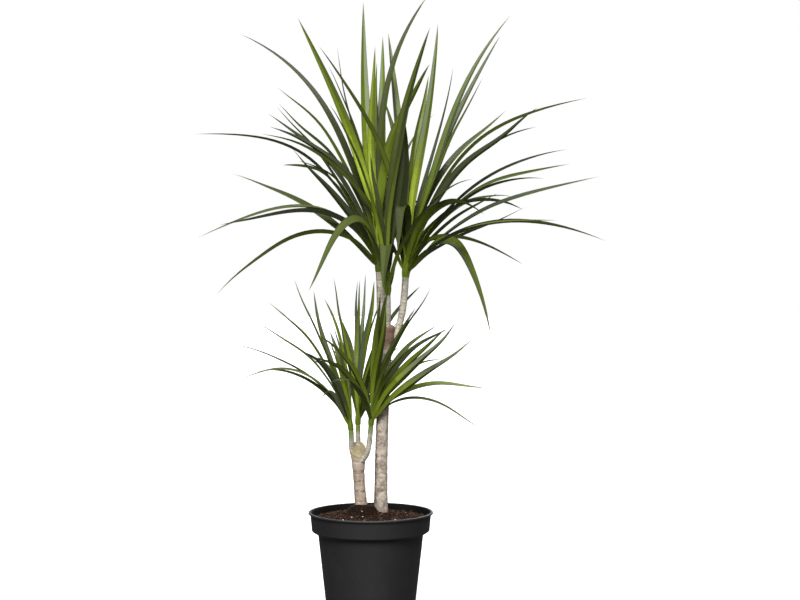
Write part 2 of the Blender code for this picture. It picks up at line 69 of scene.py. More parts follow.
# The studio: half the floor's width, where most of the sky's light comes from, the passage from its
# darkest to its brightest, and how it fades to the sides
FLOOR_REACH = 40.0
SKY_FROM, SKY_PASSAGE, SKY_DARKEST, SKY_BRIGHTEST = (0.0, -0.62, 0.78), (-0.3, 0.9), 0.25, 2.2
SIDE_PASSAGE, SIDE_LEAST = (0.2, 0.8), 0.05

# Corners that are nearer than this are one
SAME_PLACE = 1e-7

# Pot, from its solid's box and its source
POT_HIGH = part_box("pot")[1]
POT_HEIGHT = POT_HIGH.z
LIP_RADIUS = POT_HIGH.x
POT_WALL = 0.002
FOOT_RADIUS, FOOT_CHAMFER = 0.065, 0.003
NECK_RADIUS, NECK_HEIGHT = 0.0800, 0.136
BAND_FOOT_RADIUS, BAND_FOOT_HEIGHT = 0.0895, 0.142
BAND_TOP_RADIUS = 0.0918
LIP_HEIGHT, LIP_SLOPE = 0.0035, 0.0004
NECK_ROUND, LIP_FOOT_ROUND = 0.0007, 0.0004
DRAIN_HOLES, DRAIN_RADIUS, DRAIN_CIRCLE = 8, 0.004, 0.045
PLASTIC_ROUGHNESS, GLOSS_INSIDE, GLOSS_OUTSIDE = 0.62, 0.25, 0.85
DUST_LIGHTER, DUST_SHARE = 2.6, 0.35

# Compost: its dome, how far from a cane its mound is flat and where the mound ends, and a heap
# between the canes
COMPOST_EDGE_HEIGHT, COMPOST_CROWN_HEIGHT = 0.160, 0.1635
MOUND_FLAT, MOUND_END = 0.0108, 0.0317
HEAP, HEAP_TOP_RADIUS, HEAP_RADIUS = Vector((-0.006, 0.018, 0.1765)), 0.009, 0.030

# The kinds of grain on the compost: how many, how large, how high they lie, how they are squashed
# and the scale of their dents. CHIP_TILT is in radians. The margins are kept from the pot's wall.
Grain = namedtuple("Grain", "share smallest largest lift shape dents")
GRAINS = (
    Grain(1.5, 0.0010, 0.0032, 0.0002, (1.0, 0.8, 0.7), 2.1),
    Grain(0.16, 0.0028, 0.0070, 0.0005, (1.0, 0.6, 0.35), 1.7),
    Grain(0.075, 0.0024, 0.0058, 0.0008, (1.0, 0.5, 0.3), 2.6),
    Grain(0.10, 0.0040, 0.0110, 0.0009, (1.0, 0.07, 0.06), 1.2),
    Grain(0.006, 0.0015, 0.0027, 0.0006, (1.0, 0.85, 0.75), 1.9),
)
CHIP_TILT = 0.5
GRAIN_MARGIN, BED_MARGIN = 0.004, 0.001
DENT_DEPTH, DENT_LEVEL = 1.3, 0.35
FINE_RELIEF, RELIEF_LEVEL = 0.45, 0.74

# The gloss and grain of a material: distance is the depth of its bumps
Finish = namedtuple("Finish", "roughness scale spread bump distance")
COARSE_GRAIN = 0.12

# The gap between pieces
GAP = 0.0003

# Canes: how far they bow, as a share of their length, their ends, their radii at even steps from
# foot to top, and the slanting cut of the short one
CANE_BOW = 0.01
TALL_FOOT, TALL_TOP = Vector((0.015, 0.016, 0.1665)), Vector((0.026, 0.024, 0.455))
TALL_RADII = (0.0108, 0.0097, 0.0094, 0.0092, 0.0090, 0.0086, 0.0088, 0.0082)
SHORT_FOOT, SHORT_TOP = Vector((-0.0155, 0.030, 0.174)), Vector((-0.0205, 0.022, 0.276))
SHORT_RADII = (0.0100, 0.0093, 0.0089, 0.0092, 0.0104, 0.0120, 0.0118)
SHORT_CUT_POINT = Vector((-0.0205, 0.022, 0.2605))
SHORT_CUT_TILT = math.radians(48)

# The healed knob that ends the tall cane: its length and dome, its lean, its swelling and the waist
# under it, the share of its length that swells fully, and how much its lumps grow
KNOB_LENGTH, KNOB_DOME = 0.036, 0.0080
KNOB_LEAN, KNOB_SWELL, KNOB_WAIST = 0.0022, 0.0008, 0.0008
KNOB_FULL, KNOB_BURL, KNOB_POLE = 0.45, 1.6, 0.0004
WAIST_AT, WAIST_SPREAD = 1.1, 0.4

# Dark rings: a crack in the knob, and one round the short cane
KNOB_CRACK_HEIGHT = 0.4245
GIRDLE_HEIGHT, GIRDLE_WIDTH = 0.2265, 0.0015

# The healed face of the short cane's cut: the share and rise of each ring inwards, and its lumps
CALLUS_RINGS = ((0.96, 0.0006), (0.89, 0.0009), (0.81, 0.0004), (0.72, -0.0005), (0.60, -0.0007),
                (0.46, -0.0005), (0.32, -0.0003), (0.18, -0.0001), (0.06, 0.0))
CALLUS_LUMPS, CALLUS_SCALE = 0.0011, 320.0

# Branches: how straight they run into their heads, a collar at the foot, and where the young top
# turns green, measured from the tip
BRANCH_STRAIGHT, BRANCH_SIDES = 0.6, 32
COLLAR_SWELL, COLLAR_SHARE = 0.22, 0.22
CURVE_SLACK = 1.15
GREEN_ABOVE_TIP, GREEN_BELOW_TIP = (0.002, 0.008), (-0.012, 0.0)

# Ring scars: how far they wander, how wide they are and how faint where they are broken
RING_STRETCH, RING_WANDER = 160.0, 0.8
SCAR_EDGE, SCAR_LEAST = (0.34, 0.48), 0.25

# Bark: how much lighter than its main colour its pale flakes are, how far it faces left where it is
# darker, how unevenly its tint begins, and the strength and depth of its bumps
PALE_LIGHTER, PALE_MOST = 1.45, 0.9
LEFT_DARK_FACING, TINT_WANDER = (0.85, 1.2), 0.012
BARK_BUMP, BARK_BUMP_DEPTH = 0.45, 0.0006

# The core that a head's leaves clasp: the solid one's faces, its taper and the share of the way to
# core_top that it runs, then the finer one's steps, how much wider than its branch it starts, the
# heights between which it swells and the least that it is reckoned to thin to
CORE_SIDES, CORE_RINGS, CORE_TAPER, CORE_SHARE = 8, 5, 0.62, 0.58
CORE_STEPS, CORE_OVERLAP, CORE_SWELL, CORE_THINNEST = 40, 0.0002, (-0.0005, 0.012), 0.3

# A leaf's width along its length: what share of it the root has, where it is full, and from where
# and how fast it tapers
LEAF_ROOT_WIDTH, LEAF_FULL_AT = 0.55, 0.30
LEAF_TAPER_FROM, LEAF_TAPER_POWER = 0.38, 1.25

# The solid leaf: its rings, its thickness as a share of its length, and how its keel grows
LEAF_RINGS, LEAF_THICKNESS_SHARE = 8, 0.0105
KEEL_ROOT, KEEL_SPREAD = 0.45, 0.8

# How a leaf is seated, by the rule of the solids: its turn about its run in degrees, how high up the
# core it sits by its lift, and by what share of that height and over what share of its length its
# root is lowered
ROOT_ROLL, TIP_ROLL = (4, 16), (22, 60)
LOWEST_LIFT, STEEPEST_LIFT = 34.0, 90.0
SEAT_LOW, SEAT_HIGH = 0.10, 0.94
ROOT_SHARE, ROOT_REACH = 0.5, 0.2

# How a leaf finds room: it is nudged by degrees until it is clear of the rest. Leaves of one head may
# touch over the first share of their length.
CLEARANCE, FREE_SHARE = 0.0004, 0.33
NUDGES = (0, 4, -4, 8, -8, 12, -12, 17, -17, 23, -23)

# The leaves that fill a crown, in degrees and in shares of the head's chord. LOW adds to the low ones.
GOLDEN_SHARE = 0.618034
FILLER_SPREAD = 70
FILLER_LIFT, FILLER_LIFT_RISE, FILLER_LIFT_CHANCE = 46, 40, 4
FILLER_SPAN, FILLER_SPAN_LOSS, FILLER_SHORTEST = 0.98, 0.12, 0.84
FILLER_SAG, FILLER_SAG_LOW = 3, 22
FILLER_DROOP, FILLER_DROOP_LOW = 12, 52

# The blade: how its sides and rows are spaced, where its root's fold settles, its flesh, the level of
# its midrib, where its tip curls, and how many radians its two waves run on over its length
BLADE_SIDES = 12
EDGE_POWER, ROW_POWER = 0.6, 1.4
FOLD_SETTLED, FOLD_LEVEL = 0.22, 0.45
FLESH_AT_MIDRIB, FLESH_GAIN, FLESH_LEAST = 1.15, 0.42, 0.08
CURL_FROM = 0.72
SWAY_ANGLE, LILT_ANGLE = 10.0, 12.0

# The base of a leaf, wrapped round the core: it widens by a share over a length, and it ends at an
# angle to each side
WRAP_GAIN, WRAP_LENGTH, WRAP_WIDTH, WRAP_MOST = 0.55, 0.018, 1.1, 2.2
BASE_FLESH = 0.3

# Where along a leaf with a turn of its own that turn is done
TURNED_BY = 0.35

# What a leaf's finish is worked out and drawn by chance from. Leaves waver fully from a length on,
# and less where they rise or reach far. Their bases lie in layers on the core.
ROOT_TONE, ROOT_TONE_AGE, END_TONE, END_TONE_AGE, TONE_CHANCE = 3.0, 2.6, 4.8, 1.4, 0.9
DRY_SHARE, DRY_FROM, DRY_NEVER = 0.4, 0.965, 1.1
LOOSE_LENGTH, LOOSE_RISE, LOOSE_REACH = 0.38, (0.25, 0.36), (0.26, 0.29)
CLASP_MARGIN, CLASP_LEAST = 0.0006, 0.001
LAYER, LAYER_CHANCE = 0.0012, (0.0002, 0.0006)
CURL_CHANCE, SWAY_CHANCE, LILT_CHANCE = (-0.004, 0.009), (0.2, 1.0), (0.2, 0.8)
# The last is how far one half of a leaf is painted lighter and the other darker: painted light and shade on
# the two sides of its fold
DRAWN_CHANCE, PAINTED_HALF_SHADE_CHANCE = (0.4, 1.2), (0.3, 0.9)

# How much fresher in tone the lower crown is
LOWER_FRESHER = 0.5

# Where along a leaf its tone passes from the root's to the end's, and from the base's to its own, how
# much darker its rim is than its rib, and where the dark margin lies
TONE_PASSAGE, BASE_PASSAGE = (0.12, 0.72), (-0.01, 0.10)
RIM_TONE, RIB_TONE = 0.8, 0.35
MARGIN_WIDTH, MARGIN_FROM = 0.9, 0.12

# Where along a leaf its painted sheen and its painted highlight begin, the steps in which the
# highlight gets paler, and the colour that it lies on, as a share of the way from young to fresh
SHEEN_FROM, HIGHLIGHT_FROM, HIGHLIGHT_STEP, HIGHLIGHT_STEPS = 0.16, 0.34, 0.055, 4
HIGHLIGHT_GROUND = 0.55

# The tables' tones run from the yellow-green of a young leaf, 0, to deep shade, 8. Each is one of
# the steps of a finer scale, so that neighbouring faces differ little. Half a step is a little more,
# so that each face falls on a step.
TONE_STEPS = 3
LAST_TONE = 8 * TONE_STEPS
HALF_STEP = 0.501

# azimuth, reach, rise, lift, tip, pull and seat place a leaf as in the solids, apart from the second
# leaf of the right head, which is swung to the front, where the photograph shows it. root and end
# are a leaf's tones, None leaves them to its age. broad scales its width. turn is how far its face is
# turned about its run, in degrees. sheen is 1 or -1 where one half of it has a greyish painted sheen,
# and 2 or -2 where that half has a pale painted highlight. None leaves both to chance.
Leaf = namedtuple("Leaf", "azimuth reach rise lift tip pull seat root end broad turn sheen",
                  defaults=(0.40, None, None, None, 1.0, None, None))
Branch = namedtuple("Branch", "name foot out foot_radius tip_radius")

# A head's leaves clasp a core that starts at core_foot and leans towards core_top, on which their
# bases have the base_tone. fillers is how many more leaves fill its crown, facings are their headings
# in degrees, and chord is the span of such a leaf.
Head = namedtuple("Head", ("name", "branch", "core_foot", "core_top", "core_radius", "width", "leaves",
                           "fillers", "facings", "chord", "base_tone"))

# The darkest tones in these tables also paint shade on leaves that lie in shadow inside the crown
RIGHT_HEAD_LEAVES = (
    Leaf(196, 0.226, 0.211, 64, 10, seat=0.12, root=4, end=5),
    Leaf(208, 0.150, 0.297, 78, 49, 0.42, root=3, end=4, turn=10, sheen=0),
    Leaf(-30, 0.150, -0.104, 50, -74, 0.78, 0.08, root=4.6, end=5, broad=1.15, turn=65, sheen=0),
    Leaf(262, 0.108, -0.012, 80, -78, 0.80, root=6.5, end=6.5, broad=1.35, turn=0, sheen=0),
    Leaf(-60, 0.089, 0.327, 80, 86, root=0, end=2.6, turn=-12, sheen=-2),
    Leaf(12, 0.167, 0.375, 68, 50, root=3, end=4, turn=45),
    Leaf(32, 0.178, 0.352, 70, 56, root=4, end=6),
    Leaf(48, 0.120, 0.300, 70, 76, root=4, end=6),
    Leaf(17, 0.118, 0.266, 68, 58, root=4, end=6),
    Leaf(112, 0.078, 0.339, 84, 76, root=3, end=5, broad=1.25, turn=0),
    Leaf(60, 0.100, 0.225, 72, 70, root=4, end=6, broad=0.7),
    Leaf(8, 0.287, 0.247, 66, 12, 0.47, root=4, end=5),
    Leaf(25, 0.185, 0.232, 68, 36, 0.48, root=4, end=5),
    Leaf(-36, 0.238, 0.204, 59, 20, 0.46, root=3, end=5),
    Leaf(55, 0.123, 0.185, 62, 38, root=3, end=5),
    Leaf(20, 0.277, 0.183, 54, 10, root=4, end=6),
    Leaf(-32, 0.278, 0.138, 50, 2, 0.45, root=6, end=5),
    Leaf(-20, 0.303, 0.134, 42, 11, 0.45, root=6, end=5),
    Leaf(14, 0.196, 0.100, 40, 26, root=4, end=6),
    Leaf(-14, 0.307, 0.039, 43, -23, root=3, end=5.5),
    Leaf(-44, 0.294, 0.067, 38, -3, root=2.8, end=5.5),
    Leaf(-25, 0.190, -0.007, 56, -30, root=2.6, end=4.8, broad=0.85, turn=-35),
    Leaf(35, 0.233, 0.086, 58, -20, root=3, end=5),
    Leaf(-62, 0.226, 0.058, 59, -26, root=2.4, end=5),
    Leaf(15, 0.150, 0.115, 48, 26, root=4, end=6),
)
LEFT_HEAD_LEAVES = (
    Leaf(160, 0.238, 0.346, 72, 25, root=6, end=6.8, broad=0.95, turn=-35, sheen=0),
    Leaf(200, 0.129, 0.340, 80, 62, root=0, end=3.8, broad=1.15, turn=-100, sheen=0),
    Leaf(-35, 0.099, 0.259, 88, 48, 0.42, root=2.4, end=3.4, broad=1.1, turn=-48, sheen=0),
    Leaf(118, 0.052, 0.388, 75, 90, root=1, end=4, broad=1.35, turn=-15, sheen=-2),
    Leaf(130, 0.100, 0.318, 78, 76, root=4, end=6, broad=0.7),
    Leaf(170, 0.298, 0.192, 60, 0, 0.50, root=4, end=5),
    Leaf(150, 0.190, 0.235, 68, 36, 0.45, root=4, end=5),
    Leaf(165, 0.165, 0.231, 62, 46, root=4, end=5),
    Leaf(212, 0.177, 0.178, 72, 19, 0.50, root=5, end=6),
    Leaf(230, 0.194, 0.156, 49, 33, root=3.4, end=5.5, broad=0.9),
    Leaf(194, 0.229, 0.132, 41, 12, root=5, end=5, broad=1.35, turn=-45),
    Leaf(206, 0.291, 0.024, 55, -25, 0.46, root=3.4, end=5.5),
    Leaf(220, 0.279, 0.041, 52, -13, 0.45, root=3, end=5),
    Leaf(203, 0.257, -0.052, 46, -48, 0.45, root=2.4, end=4),
    Leaf(165, 0.004, 0.300, 84, 95, root=0, end=3, broad=0.9, turn=-80, sheen=0),
    Leaf(85, 0.075, 0.335, 80, 84, root=3, end=4, broad=1.25, turn=0, sheen=2),
    Leaf(20, 0.084, 0.384, 88, 54, root=6, end=6, broad=0.85, turn=50, sheen=0),
)
MIDDLE_HEAD_LEAVES = (
    Leaf(210, 0.142, 0.004, 76, -62, 1.10, 0.05, root=5.4, end=5.2, broad=1.3, turn=-45, sheen=0),
    Leaf(150, 0.030, 0.170, 82, 80, root=6, end=6, broad=0.8),
    Leaf(-44, 0.090, 0.342, 86, 62, root=7, end=5, broad=1.1, turn=-40, sheen=1),
    Leaf(-10, 0.027, 0.225, 78, 92, root=7.4, end=8, broad=1.8, turn=80, sheen=0),
    Leaf(-60, 0.088, 0.285, 84, 72, root=3, end=4, broad=0.8),
    Leaf(255, 0.045, 0.004, 84, -80, 2.10, 0.05, root=5.5, end=5.5, broad=1.8, turn=0, sheen=0),
    Leaf(58, 0.045, 0.070, 58, 56, 0.40, 0.04, root=6, end=6, broad=0.7),
)
LOW_RIGHT_LEAVES = (
    Leaf(-72, 0.070, 0.150, 80, 80, root=3.8, end=4.6, broad=1.1, turn=0),
    Leaf(-48, 0.129, 0.185, 70, 52, root=4.5, end=5, broad=0.9, turn=10),
    Leaf(-20, 0.069, 0.148, 76, 58, root=4, end=5, broad=1.1, turn=-35),
    Leaf(-5, 0.103, 0.130, 66, 26, root=4, end=5.5, broad=1.15, turn=50),
    Leaf(-20, 0.120, 0.128, 58, 38, root=3.5, end=4.2, broad=1.15, turn=-40),
    Leaf(-42, 0.172, 0.148, 52, 46, root=3.3, end=3.8, broad=1.15, turn=-45, sheen=-2),
    Leaf(-30, 0.182, 0.129, 44, 36, root=3.4, end=3.6, broad=1.25, turn=-40, sheen=-2),
    Leaf(-15, 0.184, 0.044, 46, -14, 0.43, root=3.5, end=4.5, turn=42),
    Leaf(-8, 0.173, -0.024, 46, -44, 0.44, root=5, end=6, broad=0.8, turn=25),
)
LOW_LEFT_LEAVES = (
    Leaf(205, 0.049, 0.044, 50, -60, 0.60, 0.10, root=4, end=5),
    Leaf(208, 0.094, 0.206, 70, 66, root=3, end=4.5),
    Leaf(150, 0.069, 0.190, 66, 78, root=4, end=5),
    Leaf(168, 0.128, 0.172, 64, 32, root=3.2, end=4.6, broad=0.9, sheen=0),
    Leaf(160, 0.165, 0.143, 60, 22, 0.46, root=3.6, end=5, broad=0.9, sheen=0),
    Leaf(175, 0.197, 0.124, 54, 20, 0.45, root=4.4, end=5.5, broad=0.75, sheen=0),
    Leaf(188, 0.176, 0.062, 56, -24, 0.48, root=5, end=6.2, broad=0.7, sheen=0),
    Leaf(230, 0.050, 0.120, 70, 60, root=3, end=4),
)
LOW_MIDDLE_LEAVES = (
    Leaf(130, 0.064, 0.200, 78, 78, root=4, end=5),
    Leaf(105, 0.062, 0.195, 78, 82, root=3, end=4),
    Leaf(75, 0.045, 0.200, 86, 84, root=2, end=4, sheen=2),
    Leaf(25, 0.108, 0.187, 76, 40, root=4, end=6),
    Leaf(-45, 0.040, 0.190, 84, 78, root=2.5, end=3.5),
    Leaf(215, 0.032, 0.140, 80, 80, root=3, end=4),
)

HEADS = (
    Head(
        "leaf_head_upper_right",
        Branch("branch_upper_right", Vector((0.025, 0.0233, 0.428)),
               Vector((0.041, 0.0257, 0.432)), 0.0056, 0.0052),
        Vector((0.053, 0.028, 0.526)), Vector((0.056, 0.026, 0.588)), 0.0060, 0.0150,
        RIGHT_HEAD_LEAVES, 15, (75, 110, 45), 0.350, 1.9,
    ),
    Head(
        "leaf_head_upper_left",
        Branch("branch_upper_left", Vector((0.025, 0.0235, 0.437)),
               Vector((0.012, 0.029, 0.4384)), 0.0069, 0.0066),
        Vector((0.0135, 0.034, 0.535)), Vector((0.010, 0.033, 0.592)), 0.0070, 0.0150,
        LEFT_HEAD_LEAVES, 18, (110, 75, 150), 0.350, 3.4,
    ),
    Head(
        "leaf_head_upper_middle",
        Branch("branch_upper_middle", Vector((0.026, 0.021, 0.445)),
               Vector((0.026, 0.020, 0.462)), 0.0043, 0.0040),
        Vector((0.026, 0.007, 0.500)), Vector((0.024, 0.000, 0.560)), 0.0052, 0.0150,
        MIDDLE_HEAD_LEAVES, 6, (215, 325), 0.300, 3.4,
    ),
    Head(
        "leaf_head_lower_right",
        Branch("branch_lower_right", Vector((-0.0165, 0.020, 0.2445)),
               Vector((-0.0045, 0.015, 0.252)), 0.0046, 0.0039),
        Vector((0.000, 0.008, 0.300)), Vector((0.003, 0.005, 0.342)), 0.0047, 0.0128,
        LOW_RIGHT_LEAVES, 12, (285, 320, 250), 0.200, 3.2,
    ),
    Head(
        "leaf_head_lower_left",
        Branch("branch_lower_left", Vector((-0.0195, 0.026, 0.240)),
               Vector((-0.033, 0.034, 0.258)), 0.0044, 0.0041),
        Vector((-0.031, 0.024, 0.292)), Vector((-0.033, 0.022, 0.330)), 0.0050, 0.0128,
        LOW_LEFT_LEAVES, 10, (215, 110, 140), 0.200, 3.4,
    ),
    Head(
        "leaf_head_lower_middle",
        Branch("branch_lower_middle", Vector((-0.0195, 0.027, 0.242)),
               Vector((-0.0195, 0.037, 0.256)), 0.0040, 0.0037),
        Vector((-0.0205, 0.032, 0.298)), Vector((-0.021, 0.034, 0.338)), 0.0046, 0.0124,
        LOW_MIDDLE_LEAVES, 13, (90, 60, 120), 0.205, 3.4,
    ),
)


def colour_property(name, description, default):
    return bpy.props.FloatVectorProperty(name=name, description=description, default=default,
                                         subtype="COLOR", size=3, min=0.0, max=1.0)


def length_property(name, description, default):
    return bpy.props.FloatProperty(name=name, description=description, default=default, min=0.0,
                                   unit="LENGTH", precision=5)


def number_property(name, description, default, **others):
    return bpy.props.FloatProperty(name=name, description=description, default=default, **others)


def count_property(name, description, default, least=0):
    return bpy.props.IntProperty(name=name, description=description, default=default, min=least)


class PotSettings(bpy.types.PropertyGroup):
    """Sizes and colour of the nursery pot"""

    sides: count_property("Sides", "Faces round the pot", 144, 24)
    lip_round: length_property("Lip rounding", "Radius of the rounded lip", 0.0009)
    corner_round: length_property("Corner rounding", "Radius of the band's corners", 0.0014)
    plastic: colour_property("Plastic", "Colour of the moulded plastic", (0.0075, 0.0074, 0.0074))
    # The wall inside is painted darker: painted shade where the rim and the leaves shade it
    inner_shade: colour_property("Stain", "Colour of the wall inside, where compost has stained it",
                           (0.0060, 0.0045, 0.0035))


class CompostSettings(bpy.types.PropertyGroup):
    """Relief, crumbs and colours of the compost"""

    relief: length_property("Relief", "Height of the lumps in the surface", 0.0042)
    crumbs: count_property("Crumbs", "Crumbs and bark chips to each square decimetre", 900)
    seed: count_property("Seed", "Lays the crumbs another way", 5)
    peat: colour_property("Peat", "Colour of the fine compost", (0.013, 0.0075, 0.0045))
    bark: colour_property("Bark", "Colour of the reddish bark chips", (0.056, 0.024, 0.013))
    fibre: colour_property("Fibre", "Colour of the pale fibres", (0.16, 0.10, 0.055))
    perlite: colour_property("Perlite", "Colour of the white grains", (0.72, 0.70, 0.66))


class BarkSettings(bpy.types.PropertyGroup):
    """Relief and colours of the canes and branches"""

    sides: count_property("Sides", "Faces round a cane", 44, 12)
    step: length_property("Step", "Length of the faces along a cane", 0.0008)
    ring_spacing: length_property("Ring spacing", "Distance between the leaf scars", 0.0058)
    ring_depth: length_property("Ring depth", "Depth of the leaf scars", 0.00040)
    lumps: length_property("Lumps", "Height of the bark's uneven relief", 0.0009)
    tall: colour_property("Tall cane", "Main colour of the tall cane", (0.62, 0.53, 0.43))
    tall_dark: colour_property("Tall cane dark", "Dark patches of the tall cane", (0.17, 0.135, 0.11))
    knob: colour_property("Knob", "Colour of the healed knob", (0.195, 0.100, 0.062))
    short: colour_property("Short cane", "Main colour of the short cane", (0.53, 0.43, 0.33))
    short_dark: colour_property("Short cane dark", "Dark patches of the short cane", (0.40, 0.28, 0.205))
    short_top: colour_property("Short cane top", "Colour of the short cane under its cut", (0.68, 0.56, 0.44))
    wood: colour_property("Cut wood", "Main colour of the cut's healed face", (0.43, 0.345, 0.215))
    wood_dark: colour_property("Cut wood dark", "Dark patches of the cut", (0.235, 0.215, 0.105))
    wood_rim: colour_property("Cut rim", "Colour of the cut's upper rim", (0.54, 0.47, 0.33))
    branch: colour_property("Branch", "Main colour of the branches", (0.70, 0.65, 0.53))
    branch_dark: colour_property("Branch dark", "Dark patches of the branches", (0.30, 0.255, 0.19))
    crack: colour_property("Cracks", "Colour of the cracks and scars", (0.105, 0.070, 0.050))
    green: colour_property("Green", "Colour of a branch's young top", (0.20, 0.29, 0.055))


class LeafSettings(bpy.types.PropertyGroup):
    """Blades and colours of the leaves"""

    segments: count_property("Segments", "Faces along a leaf", 30, 8)
    fold: number_property("Fold", "How far each half of a leaf rises from its midrib", math.radians(25),
                          subtype="ANGLE")
    root_fold: number_property("Root fold", "The same where the blade leaves the stem", math.radians(42),
                               subtype="ANGLE")
    draw_out: number_property("Draw out", "Over 1 thins the tips, under 1 keeps them broad", 0.60)
    draw_out_age: number_property("Draw out with age", "How much more the oldest leaves are drawn out", 0.6)
    waver: length_property("Waver", "How far a leaf's tip wavers off its curve", 0.0080)
    clasp: length_property("Clasp", "Length of a leaf's base, which is wrapped round the stem", 0.018)
    thickness: length_property("Thickness", "Thickness of a leaf at its midrib", 0.0008)
    # Young is the yellow-green of young leaves, with painted light where light shines through them
    young: colour_property("Young", "Colour of the youngest leaves", (0.56, 0.70, 0.075))
    fresh: colour_property("Fresh", "Colour of a fresh leaf", (0.190, 0.262, 0.016))
    deep: colour_property("Deep", "Colour of a full-grown leaf", (0.078, 0.107, 0.019))
    # Shade, the darkest tone, is painted shade on leaves in shadow inside the crown, and darkens old leaves
    shade: colour_property("Shade", "Colour of the oldest leaves", (0.027, 0.036, 0.011))
    # Sheen and the pale highlight are painted light: greyish and pale colours of light reflected off leaves
    sheen: colour_property("Sheen", "Colour of the greyish sheen on some leaves", (0.088, 0.112, 0.056))
    bloom: colour_property("Bloom", "Colour of the pale bloom on a few leaves", (0.27, 0.33, 0.175))
    margin: colour_property("Margin", "Colour of a leaf's edge", (0.050, 0.034, 0.016))
    dry: colour_property("Dry tip", "Colour of a withered tip", (0.25, 0.21, 0.15))


class StudioSettings(bpy.types.PropertyGroup):
    """Light and floor of the studio"""

    key: number_property("Key", "Strength of the front light", 3.0)
    top: number_property("Top", "Strength of the light from above", 0.6)
    back: number_property("Back", "Strength of the light from behind", 1.7)
    sky: number_property("Sky", "Strength of the light from all round", 0.35)
    floor: colour_property("Floor", "Colour of the floor", (0.90, 0.90, 0.90))
    floor_glow: number_property("Floor glow", "White that the floor shows of itself, in shadow too", 0.45)
    floor_bounce: colour_property("Floor bounce", "Colour of the floor in the light that it throws back",
                                  (0.05, 0.05, 0.05))


class Wire:
    """A node's output, a number or a vector. Reckoning with it adds nodes to its graph."""

    def __init__(self, graph, socket):
        self.graph = graph
        self.socket = socket

    def __add__(self, other):
        return self.graph.reckon("ADD", self, other)

    def __sub__(self, other):
        return self.graph.reckon("SUBTRACT", self, other)

    def __rsub__(self, other):
        return self.graph.reckon("SUBTRACT", other, self)

    def __mul__(self, other):
        return self.graph.reckon("MULTIPLY", self, other)

    def __truediv__(self, other):
        return self.graph.reckon("DIVIDE", self, other)

    def __pow__(self, power):
        return self.graph.math("POWER", self, power)

    def __gt__(self, other):
        return self.graph.math("GREATER_THAN", self, other)

    def __lt__(self, other):
        return self.graph.math("LESS_THAN", self, other)

    def __abs__(self):
        return self.graph.math("ABSOLUTE", self)

    __radd__ = __add__
    __rmul__ = __mul__


def sine(wire):
    return wire.graph.math("SINE", wire)


def cosine(wire):
    return wire.graph.math("COSINE", wire)


def sign(wire):
    return wire.graph.math("SIGN", wire)


def at_least(wire, low):
    return wire.graph.math("MAXIMUM", wire, low)


def at_most(wire, high):
    return wire.graph.math("MINIMUM", wire, high)


def unit(wire):
    return wire.graph.vector("NORMALIZE", wire)


def dot(first, second):
    return first.graph.vector("DOT_PRODUCT", first, second)


def cross(first, second):
    return first.graph.vector("CROSS_PRODUCT", first, second)


def blend(first, second, share):
    return first + (second - first) * share


